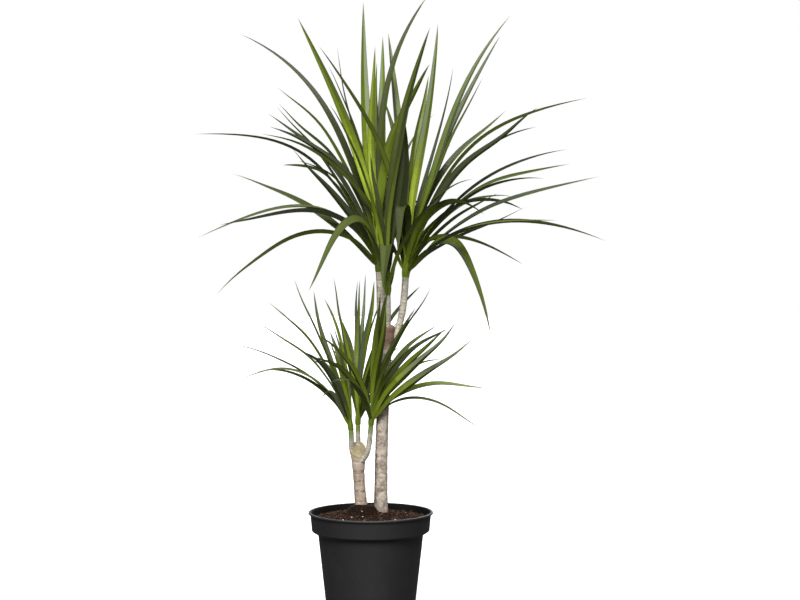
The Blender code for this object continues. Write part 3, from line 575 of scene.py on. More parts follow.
class Graph:
    """A node tree being built. An input may be a number, a colour or another node's output."""

    def __init__(self, tree):
        self.tree = tree

    @staticmethod
    def open_socket(sockets, name=None):
        return next(s for s in sockets if s.enabled and name in (None, s.name))

    def feed(self, socket, value):
        if isinstance(value, Wire):
            self.tree.links.new(value.socket, socket)
        else:
            socket.default_value = value

    def node(self, kind, settings=None, **inputs):
        """A node. An input's name has underscores for spaces."""
        node = self.tree.nodes.new(kind)
        for key, value in (settings or {}).items():
            setattr(node, key, value)
        for key, value in inputs.items():
            self.feed(self.open_socket(node.inputs, key.replace("_", " ")), value)
        return node

    def made(self, kind, settings=None, output=None, **inputs):
        """The output of that name of a new node, or else its first."""
        node = self.node(kind, settings, **inputs)
        return Wire(self, self.open_socket(node.outputs, output))

    def wires(self, node):
        """All the outputs of a node by name."""
        return {socket.name: Wire(self, socket) for socket in node.outputs if socket.name}

    def math(self, operation, *values, clamp=False):
        node = self.node("ShaderNodeMath", {"operation": operation, "use_clamp": clamp})
        for socket, value in zip(node.inputs, values):
            self.feed(socket, value)
        return Wire(self, node.outputs[0])

    def vector(self, operation, *values):
        node = self.node("ShaderNodeVectorMath", {"operation": operation})
        for socket, value in zip([s for s in node.inputs if s.enabled], values):
            self.feed(socket, value)
        return Wire(self, self.open_socket(node.outputs))

    def reckon(self, operation, first, second):
        """A step of arithmetic. A vector may be multiplied by a vector or by a number."""
        if not isinstance(first, Wire) or first.socket.type != "VECTOR":
            return self.math(operation, first, second)
        is_number = isinstance(second, Wire) and second.socket.type != "VECTOR"
        if operation == "MULTIPLY" and (is_number or isinstance(second, float)):
            operation = "SCALE"
        return self.vector(operation, first, second)

    def ease(self, value, low, high, start=0.0, end=1.0):
        """start below low, end above high, and a smooth passage between them."""
        return self.made("ShaderNodeMapRange", {"interpolation_type": "SMOOTHSTEP"}, Value=value,
                         From_Min=low, From_Max=high, To_Min=start, To_Max=end)

    def mix_colour(self, first, second, share):
        return self.made("ShaderNodeMix", {"data_type": "RGBA"}, Factor=share, A=first, B=second)

    def noise(self, place, scale, detail=3.0, roughness=0.55):
        return self.made("ShaderNodeTexNoise", Vector=place, Scale=scale, Detail=detail,
                         Roughness=roughness)

    def patches(self, place, scale, low, high, detail=3.0, roughness=0.55):
        """Noise that is 0 where it is under low and 1 where it is over high."""
        return self.ease(self.noise(place, scale, detail, roughness), low, high)

    def attribute(self, name, kind="FLOAT"):
        return self.made("GeometryNodeInputNamedAttribute", {"data_type": kind}, Name=name)

    def store(self, geometry, name, value):
        return self.made("GeometryNodeStoreNamedAttribute", {"data_type": "FLOAT", "domain": "POINT"},
                         Geometry=geometry, Name=name, Value=value)

    def dress(self, geometry, selection, material):
        return self.made("GeometryNodeSetMaterial", Geometry=geometry, Selection=selection,
                         Material=material)

    def position(self):
        return self.made("GeometryNodeInputPosition")

    def combined(self, x=0.0, y=0.0, z=0.0):
        return self.made("ShaderNodeCombineXYZ", X=x, Y=y, Z=z)

    def separated(self, vector):
        return self.wires(self.node("ShaderNodeSeparateXYZ", Vector=vector)).values()

    def join(self, pieces):
        node = self.node("GeometryNodeJoinGeometry")
        for piece in pieces:
            self.tree.links.new(piece.socket, node.inputs[0])
        return Wire(self, node.outputs[0])


def new_graph(name, kind, inputs, outputs):
    """The Graph of a new node group, and its inputs' wires by name. Sockets are listed by kind."""
    tree = bpy.data.node_groups.new(name, kind)
    for in_out, kinds in (("INPUT", inputs), ("OUTPUT", outputs)):
        for socket_kind, keys in kinds.items():
            for key in keys:
                tree.interface.new_socket(name=key, in_out=in_out, socket_type="NodeSocket" + socket_kind)
    graph = Graph(tree)
    return graph, graph.wires(graph.node("NodeGroupInput"))


def shape_graph(name, **inputs):
    """The same for a tree that shapes geometry."""
    geometry = {"Geometry": ["Geometry"]}
    return new_graph(name, "GeometryNodeTree", {**geometry, **inputs}, geometry)


def end_shape(graph, geometry):
    """The finished tree, which puts out that geometry."""
    graph.node("NodeGroupOutput", Geometry=geometry)
    return graph.tree


def grown(obj, tree, values):
    """Runs a geometry tree on an object and keeps what it makes as a plain mesh."""
    modifier = obj.modifiers.new(tree.name, "NODES")
    modifier.node_group = tree
    for item in tree.interface.items_tree:
        if item.item_type == "SOCKET" and item.in_out == "INPUT" and item.name in values:
            modifier[item.identifier] = values[item.name]
    bpy.context.view_layer.update()
    graph = bpy.context.evaluated_depsgraph_get()
    mesh = bpy.data.meshes.new_from_object(obj.evaluated_get(graph))
    obj.modifiers.clear()
    obj.data = mesh
    mesh.name = obj.name
    if not mesh.polygons:
        raise RuntimeError(f"{obj.name}: its node tree made no faces")
    return obj


def new_object(name, mesh):
    obj = bpy.data.objects.new(name, mesh)
    bpy.context.scene.collection.objects.link(obj)
    return obj


def points_object(name, points, attributes, edges=()):
    """A mesh of bare points, or of a line through them, that a geometry tree grows a shape from."""
    mesh = bpy.data.meshes.new(name)
    mesh.from_pydata(points, list(edges), [])
    for key, values in attributes.items():
        is_vector = isinstance(values[0], Vector)
        layer = mesh.attributes.new(key, "FLOAT_VECTOR" if is_vector else "FLOAT", "POINT")
        if is_vector:
            layer.data.foreach_set("vector", [number for value in values for number in value])
        else:
            layer.data.foreach_set("value", values)
    return new_object(name, mesh)


def finished(obj, nodes, sharp_over=None):
    """Shades a piece smooth, apart from edges sharper than an angle in degrees, seats it on the body
    and hides the solids it stands for."""
    obj.data.shade_smooth()
    if sharp_over is not None:
        obj.data.set_sharp_from_angle(angle=math.radians(sharp_over))
    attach(obj, BODY)
    if nodes:
        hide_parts(*nodes)


def outward(mesh):
    """Turns a mesh's faces outwards, once its doubles are merged."""
    bm = bmesh.new()
    bm.from_mesh(mesh)
    bmesh.ops.remove_doubles(bm, verts=bm.verts, dist=SAME_PLACE)
    bmesh.ops.recalc_face_normals(bm, faces=bm.faces)
    bm.to_mesh(mesh)
    bm.free()


def place_group(graph, group, **inputs):
    """The outputs of a shader group that is set among a material's nodes."""
    node = graph.node("ShaderNodeGroup", {"node_tree": group}, **inputs)
    return graph.wires(node)


def new_material(name, colour, roughness):
    """A material with its Principled shader and a Graph to add to it."""
    made = bpy.data.materials.new(name)
    made.use_nodes = True
    shader = made.node_tree.nodes["Principled BSDF"]
    shader.inputs["Base Color"].default_value = (*colour, 1.0)
    shader.inputs["Roughness"].default_value = roughness
    return made, shader, Graph(made.node_tree)


def object_place(graph):
    return graph.made("ShaderNodeTexCoord", output="Object")


def add_bump(graph, shader, height, strength, distance):
    bump = graph.made("ShaderNodeBump", Height=height, Strength=strength, Distance=distance)
    graph.feed(shader.inputs["Normal"], bump)


def grain_group():
    """Fine uneven gloss and grain, for every material that isn't bark."""
    found = bpy.data.node_groups.get("fine_grain")
    if found:
        return found
    graph, given = new_graph("fine_grain", "ShaderNodeTree",
                             {"Vector": ["Place"], "Float": ["Scale", "Roughness", "Spread"]},
                             {"Float": ["Roughness", "Height"]})
    coarse = graph.noise(given["Place"], given["Scale"] * COARSE_GRAIN, 2.0)
    fine = graph.noise(given["Place"], given["Scale"], 3.0)
    rough = (coarse - 0.5) * given["Spread"] + given["Roughness"]
    graph.node("NodeGroupOutput", Roughness=rough, Height=coarse * 0.5 + fine)
    return graph.tree


def grained(name, colour, finish, specular=None):
    """A material of one colour, with uneven gloss and fine grain."""
    made, shader, graph = new_material(name, colour, finish.roughness)
    grain = place_group(graph, grain_group(), Place=object_place(graph), Scale=finish.scale,
                        Roughness=finish.roughness, Spread=finish.spread)
    graph.feed(shader.inputs["Roughness"], grain["Roughness"])
    add_bump(graph, shader, grain["Height"], finish.bump, finish.distance)
    if specular is not None:
        shader.inputs["Specular IOR Level"].default_value = specular
    return made


def bezier(a, b, c, d, t):
    u = 1.0 - t
    return a * u**3 + b * (3 * u * u * t) + c * (3 * u * t * t) + d * t**3


def eased(value, low, high):
    share = min(max((value - low) / (high - low), 0.0), 1.0)
    return share * share * (3 - 2 * share)


def filler_leaves(head):
    """Leaves by rank from low and arching to upright, dealt by the golden angle to the front and
    back of the crown."""
    made = []
    for i in range(head.fillers):
        rank = (i + 0.5) / head.fillers
        chance = random.Random(f"{head.name} filler {i}")
        facing = head.facings[i % len(head.facings)]
        azimuth = facing + FILLER_SPREAD * ((i * GOLDEN_SHARE) % 1.0 - 0.5)
        low = 1 - rank
        lift = FILLER_LIFT + FILLER_LIFT_RISE * rank
        lift += chance.uniform(-FILLER_LIFT_CHANCE, FILLER_LIFT_CHANCE)
        chord = head.chord * (FILLER_SPAN - FILLER_SPAN_LOSS * low) * chance.uniform(FILLER_SHORTEST, 1.0)
        slope = math.radians(lift - FILLER_SAG - FILLER_SAG_LOW * low)
        droop = FILLER_DROOP + FILLER_DROOP_LOW * low
        made.append(Leaf(azimuth, chord * math.cos(slope), chord * math.sin(slope), lift, lift - droop))
    return made


def leaf_curve(head, leaf, azimuth):
    """The four control points of a leaf's midrib, its heading, and how far its root is lowered."""
    share = leaf.seat
    if share is None:
        share = (leaf.lift - LOWEST_LIFT) / (STEEPEST_LIFT - LOWEST_LIFT)
        share = SEAT_LOW + (SEAT_HIGH - SEAT_LOW) * min(max(share, 0.0), 1.0)
    mark = head.core_foot.lerp(head.core_top, share)
    drop = (mark - head.core_foot) * (1 - ROOT_SHARE)
    heading = Vector((math.cos(math.radians(azimuth)), math.sin(math.radians(azimuth)), 0))

    def slope(degrees):
        return heading * math.cos(math.radians(degrees)) + UP * math.sin(math.radians(degrees))

    tip = mark + heading * leaf.reach + UP * leaf.rise
    handle = leaf.pull * math.hypot(leaf.reach, leaf.rise)
    controls = (mark, mark + slope(leaf.lift) * handle, tip - slope(leaf.tip) * handle, tip)
    return controls, heading, drop


def leaf_line(head, leaf, azimuth):
    """Centres and length shares of a leaf's rings, its heading and its length."""
    controls, heading, drop = leaf_curve(head, leaf, azimuth)
    points = []
    for t in (i / LEAF_RINGS for i in range(LEAF_RINGS + 1)):
        rooted = max(0.0, 1 - t / ROOT_REACH)
        points.append(bezier(*controls, t) - drop * rooted * rooted * (3 - 2 * rooted))
    runs = runs_along(points)
    length = runs[-1]
    return points, [run / length for run in runs], heading, length


def width_share(share):
    """A leaf's width along its length, as a share of its greatest width."""
    opened = math.sin(min(share / LEAF_FULL_AT, 1.0) * math.pi / 2)
    drawn = max(0.0, (share - LEAF_TAPER_FROM) / (1 - LEAF_TAPER_FROM)) ** LEAF_TAPER_POWER
    return (LEAF_ROOT_WIDTH + (1 - LEAF_ROOT_WIDTH) * opened) * (1 - drawn)


def leaf_rolls(head, index):
    """How far a leaf is turned about its own run at its root and at its tip."""
    chance = random.Random(f"{head.name} roll {index}")
    side = chance.choice((-1, 1))
    root = math.radians(side * chance.uniform(*ROOT_ROLL))
    tip = math.radians(side * chance.uniform(*TIP_ROLL))
    return root, tip


def tube_faces(sides, rings):
    """The faces between neighbouring rings of corners that are numbered ring by ring."""
    faces = []
    for low in range(0, (rings - 1) * sides, sides):
        high = low + sides
        faces += [(low + k, low + (k + 1) % sides, high + (k + 1) % sides, high + k) for k in range(sides)]
    return faces


def unit_circle(sides):
    """Points (x, y) at even steps round a circle of radius 1."""
    angles = [math.tau * k / sides for k in range(sides)]
    return [(math.cos(a), math.sin(a)) for a in angles]


def leaf_solid(head, leaf, azimuth, index, grow, from_share=0.0):
    """Corners and faces of the plain solid leaf, swollen by grow, for finding what it would touch."""
    points, shares, heading, length = leaf_line(head, leaf, azimuth)
    root_roll, tip_roll = leaf_rolls(head, index)
    flat = Vector((-heading.y, heading.x, 0))
    thickness = LEAF_THICKNESS_SHARE * length
    corners, first = [], 0
    while shares[first + 1] < from_share:
        first += 1
    for i in range(first, LEAF_RINGS):
        along = (points[i + 1] - points[max(i - 1, 0)]).normalized()
        roll = root_roll + (tip_roll - root_roll) * shares[i]
        face = along.cross(flat)
        side = flat * math.cos(roll) + face * math.sin(roll)
        down = side.cross(along).normalized()
        opened = width_share(shares[i])
        half = 0.5 * head.width * opened + grow
        keel = thickness * min(1.0, KEEL_ROOT + KEEL_SPREAD * opened) + grow
        corners += [
            points[i] - side * half - down * grow,
            points[i] + side * half - down * grow,
            points[i] + down * keel,
        ]
    last, apex = len(corners) - 3, len(corners)
    corners.append(points[-1])
    faces = tube_faces(3, apex // 3)
    faces += [(last + k, last + (k + 1) % 3, apex) for k in range(3)]
    faces.append((2, 1, 0))
    return corners, faces


class Thicket:
    """The leaves placed so far, for finding a heading at which a new one touches nothing."""

    def __init__(self, fixed):
        self.fixed = fixed
        self.placed = []

    def clear(self, head, leaf, azimuth, index):
        whole = BVHTree.FromPolygons(*leaf_solid(head, leaf, azimuth, index, CLEARANCE))
        free = BVHTree.FromPolygons(*leaf_solid(head, leaf, azimuth, index, CLEARANCE, FREE_SHARE))
        for name, tree in self.fixed:
            if name != head.name and whole.overlap(tree):
                return None
        for owner, other_whole, other_free in self.placed:
            if owner == head.name:
                if free.overlap(other_free):
                    return None
            elif whole.overlap(other_whole):
                return None
        return head.name, whole, free

    def place(self, head, leaf, index):
        """The first nearby heading that is clear, or None."""
        for nudge in NUDGES:
            found = self.clear(head, leaf, leaf.azimuth + nudge, index)
            if found:
                self.placed.append(found)
                return leaf.azimuth + nudge
        return None


def core_tree(head):
    """The plain solid core of a head, which other heads' leaves keep clear of."""
    corners = []
    side = Vector((1, 0, 0))
    along = (head.core_top - head.core_foot).normalized()
    side = (side - along * side.dot(along)).normalized()
    across = along.cross(side)
    for i in range(CORE_RINGS):
        share = i / (CORE_RINGS - 1)
        radius = head.core_radius * (1 - CORE_TAPER * share)
        centre = head.core_foot.lerp(head.core_top, CORE_SHARE * share)
        corners += [centre + radius * (x * side + y * across) for x, y in unit_circle(CORE_SIDES)]
    faces = tube_faces(CORE_SIDES, CORE_RINGS)
    faces.append(tuple(reversed(range(CORE_SIDES))))
    faces.append(tuple(range(len(corners) - CORE_SIDES, len(corners))))
    return BVHTree.FromPolygons(corners, faces)


def solid_tree(node):
    """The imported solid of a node, which leaves keep clear of."""
    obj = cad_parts[node]
    corners = [obj.matrix_world @ v.co for v in obj.data.vertices]
    return BVHTree.FromPolygons(corners, [tuple(p.vertices) for p in obj.data.polygons])


def placed_leaves():
    """(head, index, leaf, azimuth) of each leaf that finds room, the outstanding ones first."""
    limbs = ["pot", "compost", "cane_tall", "cane_short"] + [head.branch.name for head in HEADS]
    fixed = [(name, solid_tree(name)) for name in limbs]
    fixed += [(head.name, core_tree(head)) for head in HEADS]
    thicket = Thicket(fixed)
    turns = [(head, i, leaf) for head in HEADS for i, leaf in enumerate(head.leaves)]
    fillers = {head.name: filler_leaves(head) for head in HEADS}
    for rank in range(max(len(made) for made in fillers.values())):
        for head in HEADS:
            if rank < len(fillers[head.name]):
                turns.append((head, len(head.leaves) + rank, fillers[head.name][rank]))
    found = []
    for head, index, leaf in turns:
        azimuth = thicket.place(head, leaf, index)
        if azimuth is not None:
            found.append((head, index, leaf, azimuth))
    return found


def between(first, second, share):
    """The colour that looks a share of the way from the first to the second."""
    return [(a**0.5 + (b**0.5 - a**0.5) * share) ** 2 for a, b in zip(first, second)]


def leaf_materials(settings):
    """One material for each tone, then the painted sheen, the painted highlight from faint to full,
    the margin and the dry tip."""
    keys = [settings.young, settings.fresh, settings.deep, settings.shade]
    made = []
    for tone in range(LAST_TONE + 1):
        place = tone / LAST_TONE * (len(keys) - 1)
        low = min(int(place), len(keys) - 2)
        colour = between(keys[low], keys[low + 1], place - low)
        made.append(leaf_material(f"leaf_tone_{tone:02d}", colour, roughness=0.46))
    made.append(leaf_material("leaf_sheen", settings.sheen, roughness=0.42))
    for step in range(HIGHLIGHT_STEPS):
        unhighlighted = between(settings.young, settings.fresh, HIGHLIGHT_GROUND)
        colour = between(unhighlighted, settings.bloom, (step + 1) / HIGHLIGHT_STEPS)
        made.append(leaf_material(f"leaf_bloom_{step}", colour, roughness=0.50))
    made.append(leaf_material("leaf_margin", settings.margin, roughness=0.60))
    made.append(leaf_material("leaf_dry_tip", settings.dry, roughness=0.75))
    return made


def leaf_material(name, colour, roughness):
    finish = Finish(roughness, scale=260.0, spread=0.16, bump=0.10, distance=0.0002)
    return grained(name, colour, finish, specular=0.32)


def bare_blades(graph, given):
    """A slim closed tube of unit length at each point. along, across and face say where on a leaf
    each of its corners belongs."""
    grid = graph.made("GeometryNodeMeshGrid", Size_X=1.0, Size_Y=1.0, Vertices_X=given["Segments"] + 1,
                      Vertices_Y=given["Ring"] + 1)
    x, y, _ = graph.separated(graph.position())
    along = x + 0.5
    around = (y + 0.5) * math.tau
    level, face = cosine(around), sine(around)
    blade = graph.store(grid, "along", along)
    blade = graph.store(blade, "across", sign(level) * abs(level) ** EDGE_POWER)
    blade = graph.store(blade, "face", face)
    belly = sine(along * math.pi)
    rolled = graph.combined(along, level * belly, face * belly)
    blade = graph.made("GeometryNodeSetPosition", Geometry=blade, Position=rolled)
    blade = graph.made("GeometryNodeMergeByDistance", Geometry=blade, Distance=0.0001)
    leaves = graph.made("GeometryNodeInstanceOnPoints", Points=given["Geometry"], Instance=blade)
    return graph.made("GeometryNodeRealizeInstances", Geometry=leaves)


def leaf_shape(materials):
    """Grows a folded, pointed blade along the midrib of each point of a bare mesh. Its base is
    wrapped round the head's core."""
    graph, given = shape_graph("strap_leaves", Int=["Segments", "Ring"],
                               Float=["Fold", "Root Fold", "Thickness", "Waver"])
    leaves = bare_blades(graph, given)

    # t runs along the leaf, c from edge to edge and s from face to back. The rows lie closer together
    # near the base, where run is below nought along the clasp.
    length = graph.attribute("length")
    clasp = graph.attribute("clasp") / length
    run = graph.attribute("along") ** ROW_POWER * (clasp + 1.0) - clasp
    t = at_least(run, 0.0)
    c = graph.attribute("across")
    s = graph.attribute("face")
    seat, start, end, tip, drop, flat, axis, foot, heading = (
        graph.attribute(key, "FLOAT_VECTOR")
        for key in ("seat", "start", "end", "tip", "drop", "flat", "axis", "foot", "heading"))

    # The midrib and its direction, with the root lowered along the core
    u = 1.0 - t
    rooted = 1.0 - graph.math("DIVIDE", t, ROOT_REACH, clamp=True)
    spine = bezier(seat, start, end, tip, t) - drop * graph.ease(rooted, 0.0, 1.0)
    way = (start - seat) * (u * u) + (end - start) * (u * t * 2.0) + (tip - end) * (t * t)
    way = unit(way + drop * (rooted * (1.0 - rooted) * (2.0 / ROOT_REACH)))
    turned = blend(graph.attribute("root_roll"), graph.attribute("tip_roll"),
                   graph.ease(t, 0.0, graph.attribute("turn_end")))
    normal = cross(way, flat)
    side = flat * cosine(turned) + normal * sine(turned)
    upper = unit(cross(way, side))

    # The blade: its width, its fold along the midrib, its flesh and its looseness
    quarter = graph.math("DIVIDE", t, LEAF_FULL_AT, clamp=True) * (math.pi / 2)
    past = graph.math("DIVIDE", t - LEAF_TAPER_FROM, 1 - LEAF_TAPER_FROM, clamp=True)
    drawn = (1.0 - past ** LEAF_TAPER_POWER) ** graph.attribute("draw_out")
    half = blend(LEAF_ROOT_WIDTH, 1.0, sine(quarter)) * drawn * graph.attribute("half_width")
    fold = graph.ease(t, 0.0, FOLD_SETTLED, given["Root Fold"], given["Fold"])
    flesh = (FLESH_AT_MIDRIB - abs(c)) * s * given["Thickness"] * (drawn * FLESH_GAIN + FLESH_LEAST)
    reach = cosine(fold) * c * half
    rise = sine(fold) * (abs(c) - FOLD_LEVEL) * half + flesh
    curl = graph.ease(t, CURL_FROM, 1.0) ** 2.0 * graph.attribute("curl")
    phase = graph.attribute("phase")
    loosened = t * t * t * given["Waver"]
    sway = sine(t * SWAY_ANGLE + phase) * loosened * graph.attribute("sway")
    lilt = cosine(t * LILT_ANGLE + phase) * loosened * graph.attribute("lilt")
    place = spine + side * reach + upper * rise + flat * sway + normal * lilt + graph.combined(z=curl)

    # The base wrapped round the core, and how far the blade has left it
    below = at_most(run, 0.0) * length
    height = dot(spine + axis * below - foot, axis)
    beside = spine - foot
    away = graph.vector("DISTANCE", beside, axis * dot(beside, axis))
    thinning = 1.0 - height / graph.attribute("core_length") * CORE_TAPER
    radius = at_least(thinning, CORE_THINNEST) * graph.attribute("core_radius") + graph.attribute("layer")
    radius = blend(graph.attribute("foot_radius"), radius, graph.ease(height, *CORE_SWELL))
    wrapped = (below * (-WRAP_GAIN / WRAP_LENGTH) + 1.0) * half * WRAP_WIDTH
    angle = at_most(at_least(wrapped / radius * c, -WRAP_MOST), WRAP_MOST)
    out = heading * cosine(angle) + flat * sine(angle)
    hugging = foot + axis * height + out * (radius - s * given["Thickness"] * BASE_FLESH)
    free = graph.ease(away, radius * 0.5, radius * 1.5)
    leaves = graph.made("GeometryNodeSetPosition", Geometry=leaves, Position=blend(hugging, place, free))

    # Colours: the tone by place along and across the leaf, with one half painted lighter and the other
    # darker as painted light and shade, then the painted sheen and highlight, the margin and dry tip
    tone = blend(graph.attribute("root_tone"), graph.attribute("end_tone"), graph.ease(t, *TONE_PASSAGE))
    tone = blend(graph.attribute("base_tone"), tone, graph.ease(run, *BASE_PASSAGE))
    # One half of each leaf is painted lighter and the other darker: painted light and shade on the two sides
    # of its fold
    tone = tone + (abs(c) * RIM_TONE - RIB_TONE) + sign(c) * graph.attribute("half_tone")
    tone = at_most(at_least(tone * TONE_STEPS, 0.0), LAST_TONE)
    for index in range(LAST_TONE + 1):
        leaves = graph.dress(leaves, graph.math("COMPARE", tone, index, HALF_STEP), materials[index])
    sheen, *bloom, margin, dry = materials[LAST_TONE + 1:]
    # The sheen and the pale highlight are painted light, laid on one half of a leaf
    lit_half = sign(c) * graph.attribute("sheen")
    leaves = graph.dress(leaves, graph.math("COMPARE", lit_half, 1.0, 0.1) * (t > SHEEN_FROM), sheen)
    highlighted = graph.math("COMPARE", lit_half, 2.0, 0.1)
    for step, material in enumerate(bloom):
        leaves = graph.dress(leaves, highlighted * (t > HIGHLIGHT_FROM + HIGHLIGHT_STEP * step), material)
    leaves = graph.dress(leaves, (abs(c) > MARGIN_WIDTH) * (t > MARGIN_FROM), margin)
    leaves = graph.dress(leaves, t > graph.attribute("dry_from"), dry)
    return end_shape(graph, leaves)


def core_radius(head, share):
    """The core swells from its branch to its full radius, and then tapers."""
    height = share * CORE_SHARE * (head.core_top - head.core_foot).length
    foot = head.branch.tip_radius + CORE_OVERLAP
    return foot + (head.core_radius * (1 - CORE_TAPER * share) - foot) * eased(height, *CORE_SWELL)


def leaf_rows(head, leaves, settings):
    """The values that the leaf tree reads at each leaf's point. The order of the draws counts."""
    rows = {}
    axis = head.core_top - head.core_foot
    core_length = CORE_SHARE * axis.length
    axis.normalize()
    for index, leaf, azimuth in leaves:
        controls, heading, drop = leaf_curve(head, leaf, azimuth)
        length = leaf_line(head, leaf, azimuth)[3]
        chance = random.Random(f"{head.name} finish {index}")
        root_roll, tip_roll = leaf_rolls(head, index)
        turn_end = 1.0
        if leaf.turn is not None:
            tip_roll = math.radians(leaf.turn)
            turn_end = TURNED_BY
        age = 1 - min(max((leaf.lift - LOWEST_LIFT) / (STEEPEST_LIFT - LOWEST_LIFT), 0.0), 1.0)
        root, end = leaf.root, leaf.end
        if root is None:
            root = ROOT_TONE + ROOT_TONE_AGE * age + chance.uniform(-TONE_CHANCE, TONE_CHANCE)
        if end is None:
            end = END_TONE + END_TONE_AGE * age + chance.uniform(-TONE_CHANCE, TONE_CHANCE)
        if "lower" in head.name:
            root, end = root - LOWER_FRESHER, end - LOWER_FRESHER
        seat_height = (controls[0] - drop - head.core_foot).dot(axis)
        is_dry = chance.random() < DRY_SHARE
        looseness = min(length / LOOSE_LENGTH, 1.0) ** 2
        looseness *= (1 - eased(leaf.rise, *LOOSE_RISE)) * (1 - eased(leaf.reach, *LOOSE_REACH))
        values = dict(
            zip(("seat", "start", "end", "tip"), controls),
            heading=(heading - axis * heading.dot(axis)).normalized(), drop=drop,
            flat=Vector((-heading.y, heading.x, 0)), axis=axis, foot=head.core_foot,
            length=length, clasp=min(settings.clasp, max(seat_height - CLASP_MARGIN, CLASP_LEAST)),
            core_radius=head.core_radius, core_length=core_length,
            layer=LAYER * (1 - seat_height / core_length) + chance.uniform(*LAYER_CHANCE),
            root_roll=root_roll, tip_roll=tip_roll, turn_end=turn_end,
            half_width=0.5 * head.width * leaf.broad,
            curl=looseness * chance.uniform(*CURL_CHANCE), phase=chance.uniform(0, math.tau),
            sway=looseness * chance.uniform(*SWAY_CHANCE), lilt=looseness * chance.uniform(*LILT_CHANCE),
            draw_out=settings.draw_out + settings.draw_out_age * age * chance.uniform(*DRAWN_CHANCE),
            base_tone=head.base_tone,
            foot_radius=head.branch.tip_radius + CORE_OVERLAP,
            sheen=float(chance.choice((-1, 0, 0, 1)) if leaf.sheen is None else leaf.sheen),
            root_tone=float(root), end_tone=float(end),
            half_tone=chance.choice((-1, 1)) * chance.uniform(*PAINTED_HALF_SHADE_CHANCE),
            dry_from=DRY_FROM if is_dry else DRY_NEVER,
        )
        for key, value in values.items():
            rows.setdefault(key, []).append(value)
    return rows


def runs_along(centres):
    """How far along a line each of its points lies."""
    runs = [0.0]
    for a, b in zip(centres, centres[1:]):
        runs.append(runs[-1] + (b - a).length)
    return runs


def limb_shape():
    """Sweeps a round section along a line, and gives it ring scars and lumps."""
    graph, given = shape_graph("ringed_limb", Int=["Sides"], Material=["Material"],
                               Float=["Ring Spacing", "Ring Depth", "Lumps", "Lump Scale", "Shift"])
    line = graph.made("GeometryNodeMeshToCurve", Mesh=given["Geometry"])
    circle = graph.made("GeometryNodeCurvePrimitiveCircle", Resolution=given["Sides"], Radius=1.0)
    section = graph.store(circle, "around", graph.made("GeometryNodeSplineParameter"))
    limb = graph.made("GeometryNodeCurveToMesh", Curve=line, Profile_Curve=section,
                      Scale=graph.attribute("radius"), Fill_Caps=True)
    run = graph.attribute("run")
    turn = graph.attribute("around") * math.tau
    ring_place = graph.combined(sine(turn), cosine(turn), run * RING_STRETCH + given["Shift"])
    phase = run / given["Ring Spacing"] + graph.noise(ring_place, 0.9, 2.0) * RING_WANDER
    gap = abs(graph.math("FRACT", phase) - 0.5)
    broken = graph.patches(ring_place, 2.3, 0.38, 0.56, 2.0)
    scar = graph.ease(gap, *SCAR_EDGE) * blend(SCAR_LEAST, 1.0, broken)
    scar = at_least(scar, graph.attribute("girdle"))
    limb = graph.store(limb, "scar", scar)
    lump = graph.noise(graph.position() + graph.combined(given["Shift"]), given["Lump Scale"]) - 0.5
    height = lump * given["Lumps"] * graph.attribute("burl") - scar * given["Ring Depth"]
    limb = graph.made("GeometryNodeSetPosition", Geometry=limb,
                      Offset=graph.made("GeometryNodeInputNormal") * height)
    return end_shape(graph, graph.dress(limb, True, given["Material"]))


def bark_group():
    """Mottled bark: light and dark patches, cracks along the limb and dark ring scars."""
    found = bpy.data.node_groups.get("mottled_bark")
    if found:
        return found
    graph, given = new_graph(
        "mottled_bark", "ShaderNodeTree",
        {"Vector": ["Place"], "Float": ["Scar", "Patches", "Scar Strength"],
         "Color": ["Main", "Dark", "Crack", "Pale"]},
        {"Color": ["Color"], "Float": ["Roughness", "Height"]},
    )
    place = given["Place"]
    fine = graph.noise(place, 900.0, 3.0, 0.6)
    streak = graph.noise(place * (1.0, 1.0, 0.16), 620.0, 3.0, 0.6)
    split = graph.ease(streak, 0.60, 0.70) * graph.patches(place, 75.0, 0.42, 0.60, 2.0)

    # The colours that are laid over the main one, and how much of each shows
    layers = (
        ("Dark", graph.patches(place, 62.0, 0.47, 0.60, 3.0, 0.6) * given["Patches"]),
        ("Dark", graph.patches(place, 160.0, 0.44, 0.64, 4.0, 0.65) * given["Patches"]),
        ("Pale", graph.patches(place * (1.0, 1.0, 0.7), 170.0, 0.50, 0.68, 5.0, 0.7) * 0.75),
        ("Dark", graph.ease(fine, 0.58, 0.72) * 0.55),
        ("Crack", split * 0.85),
        ("Crack", given["Scar"] * given["Scar Strength"]),
    )
    colour = given["Main"]
    for key, share in layers:
        colour = graph.mix_colour(colour, given[key], share)
    graph.node("NodeGroupOutput", Color=colour, Roughness=fine * 0.25 + 0.66,
               Height=streak * 0.5 + fine - split * 1.2)
    return graph.tree


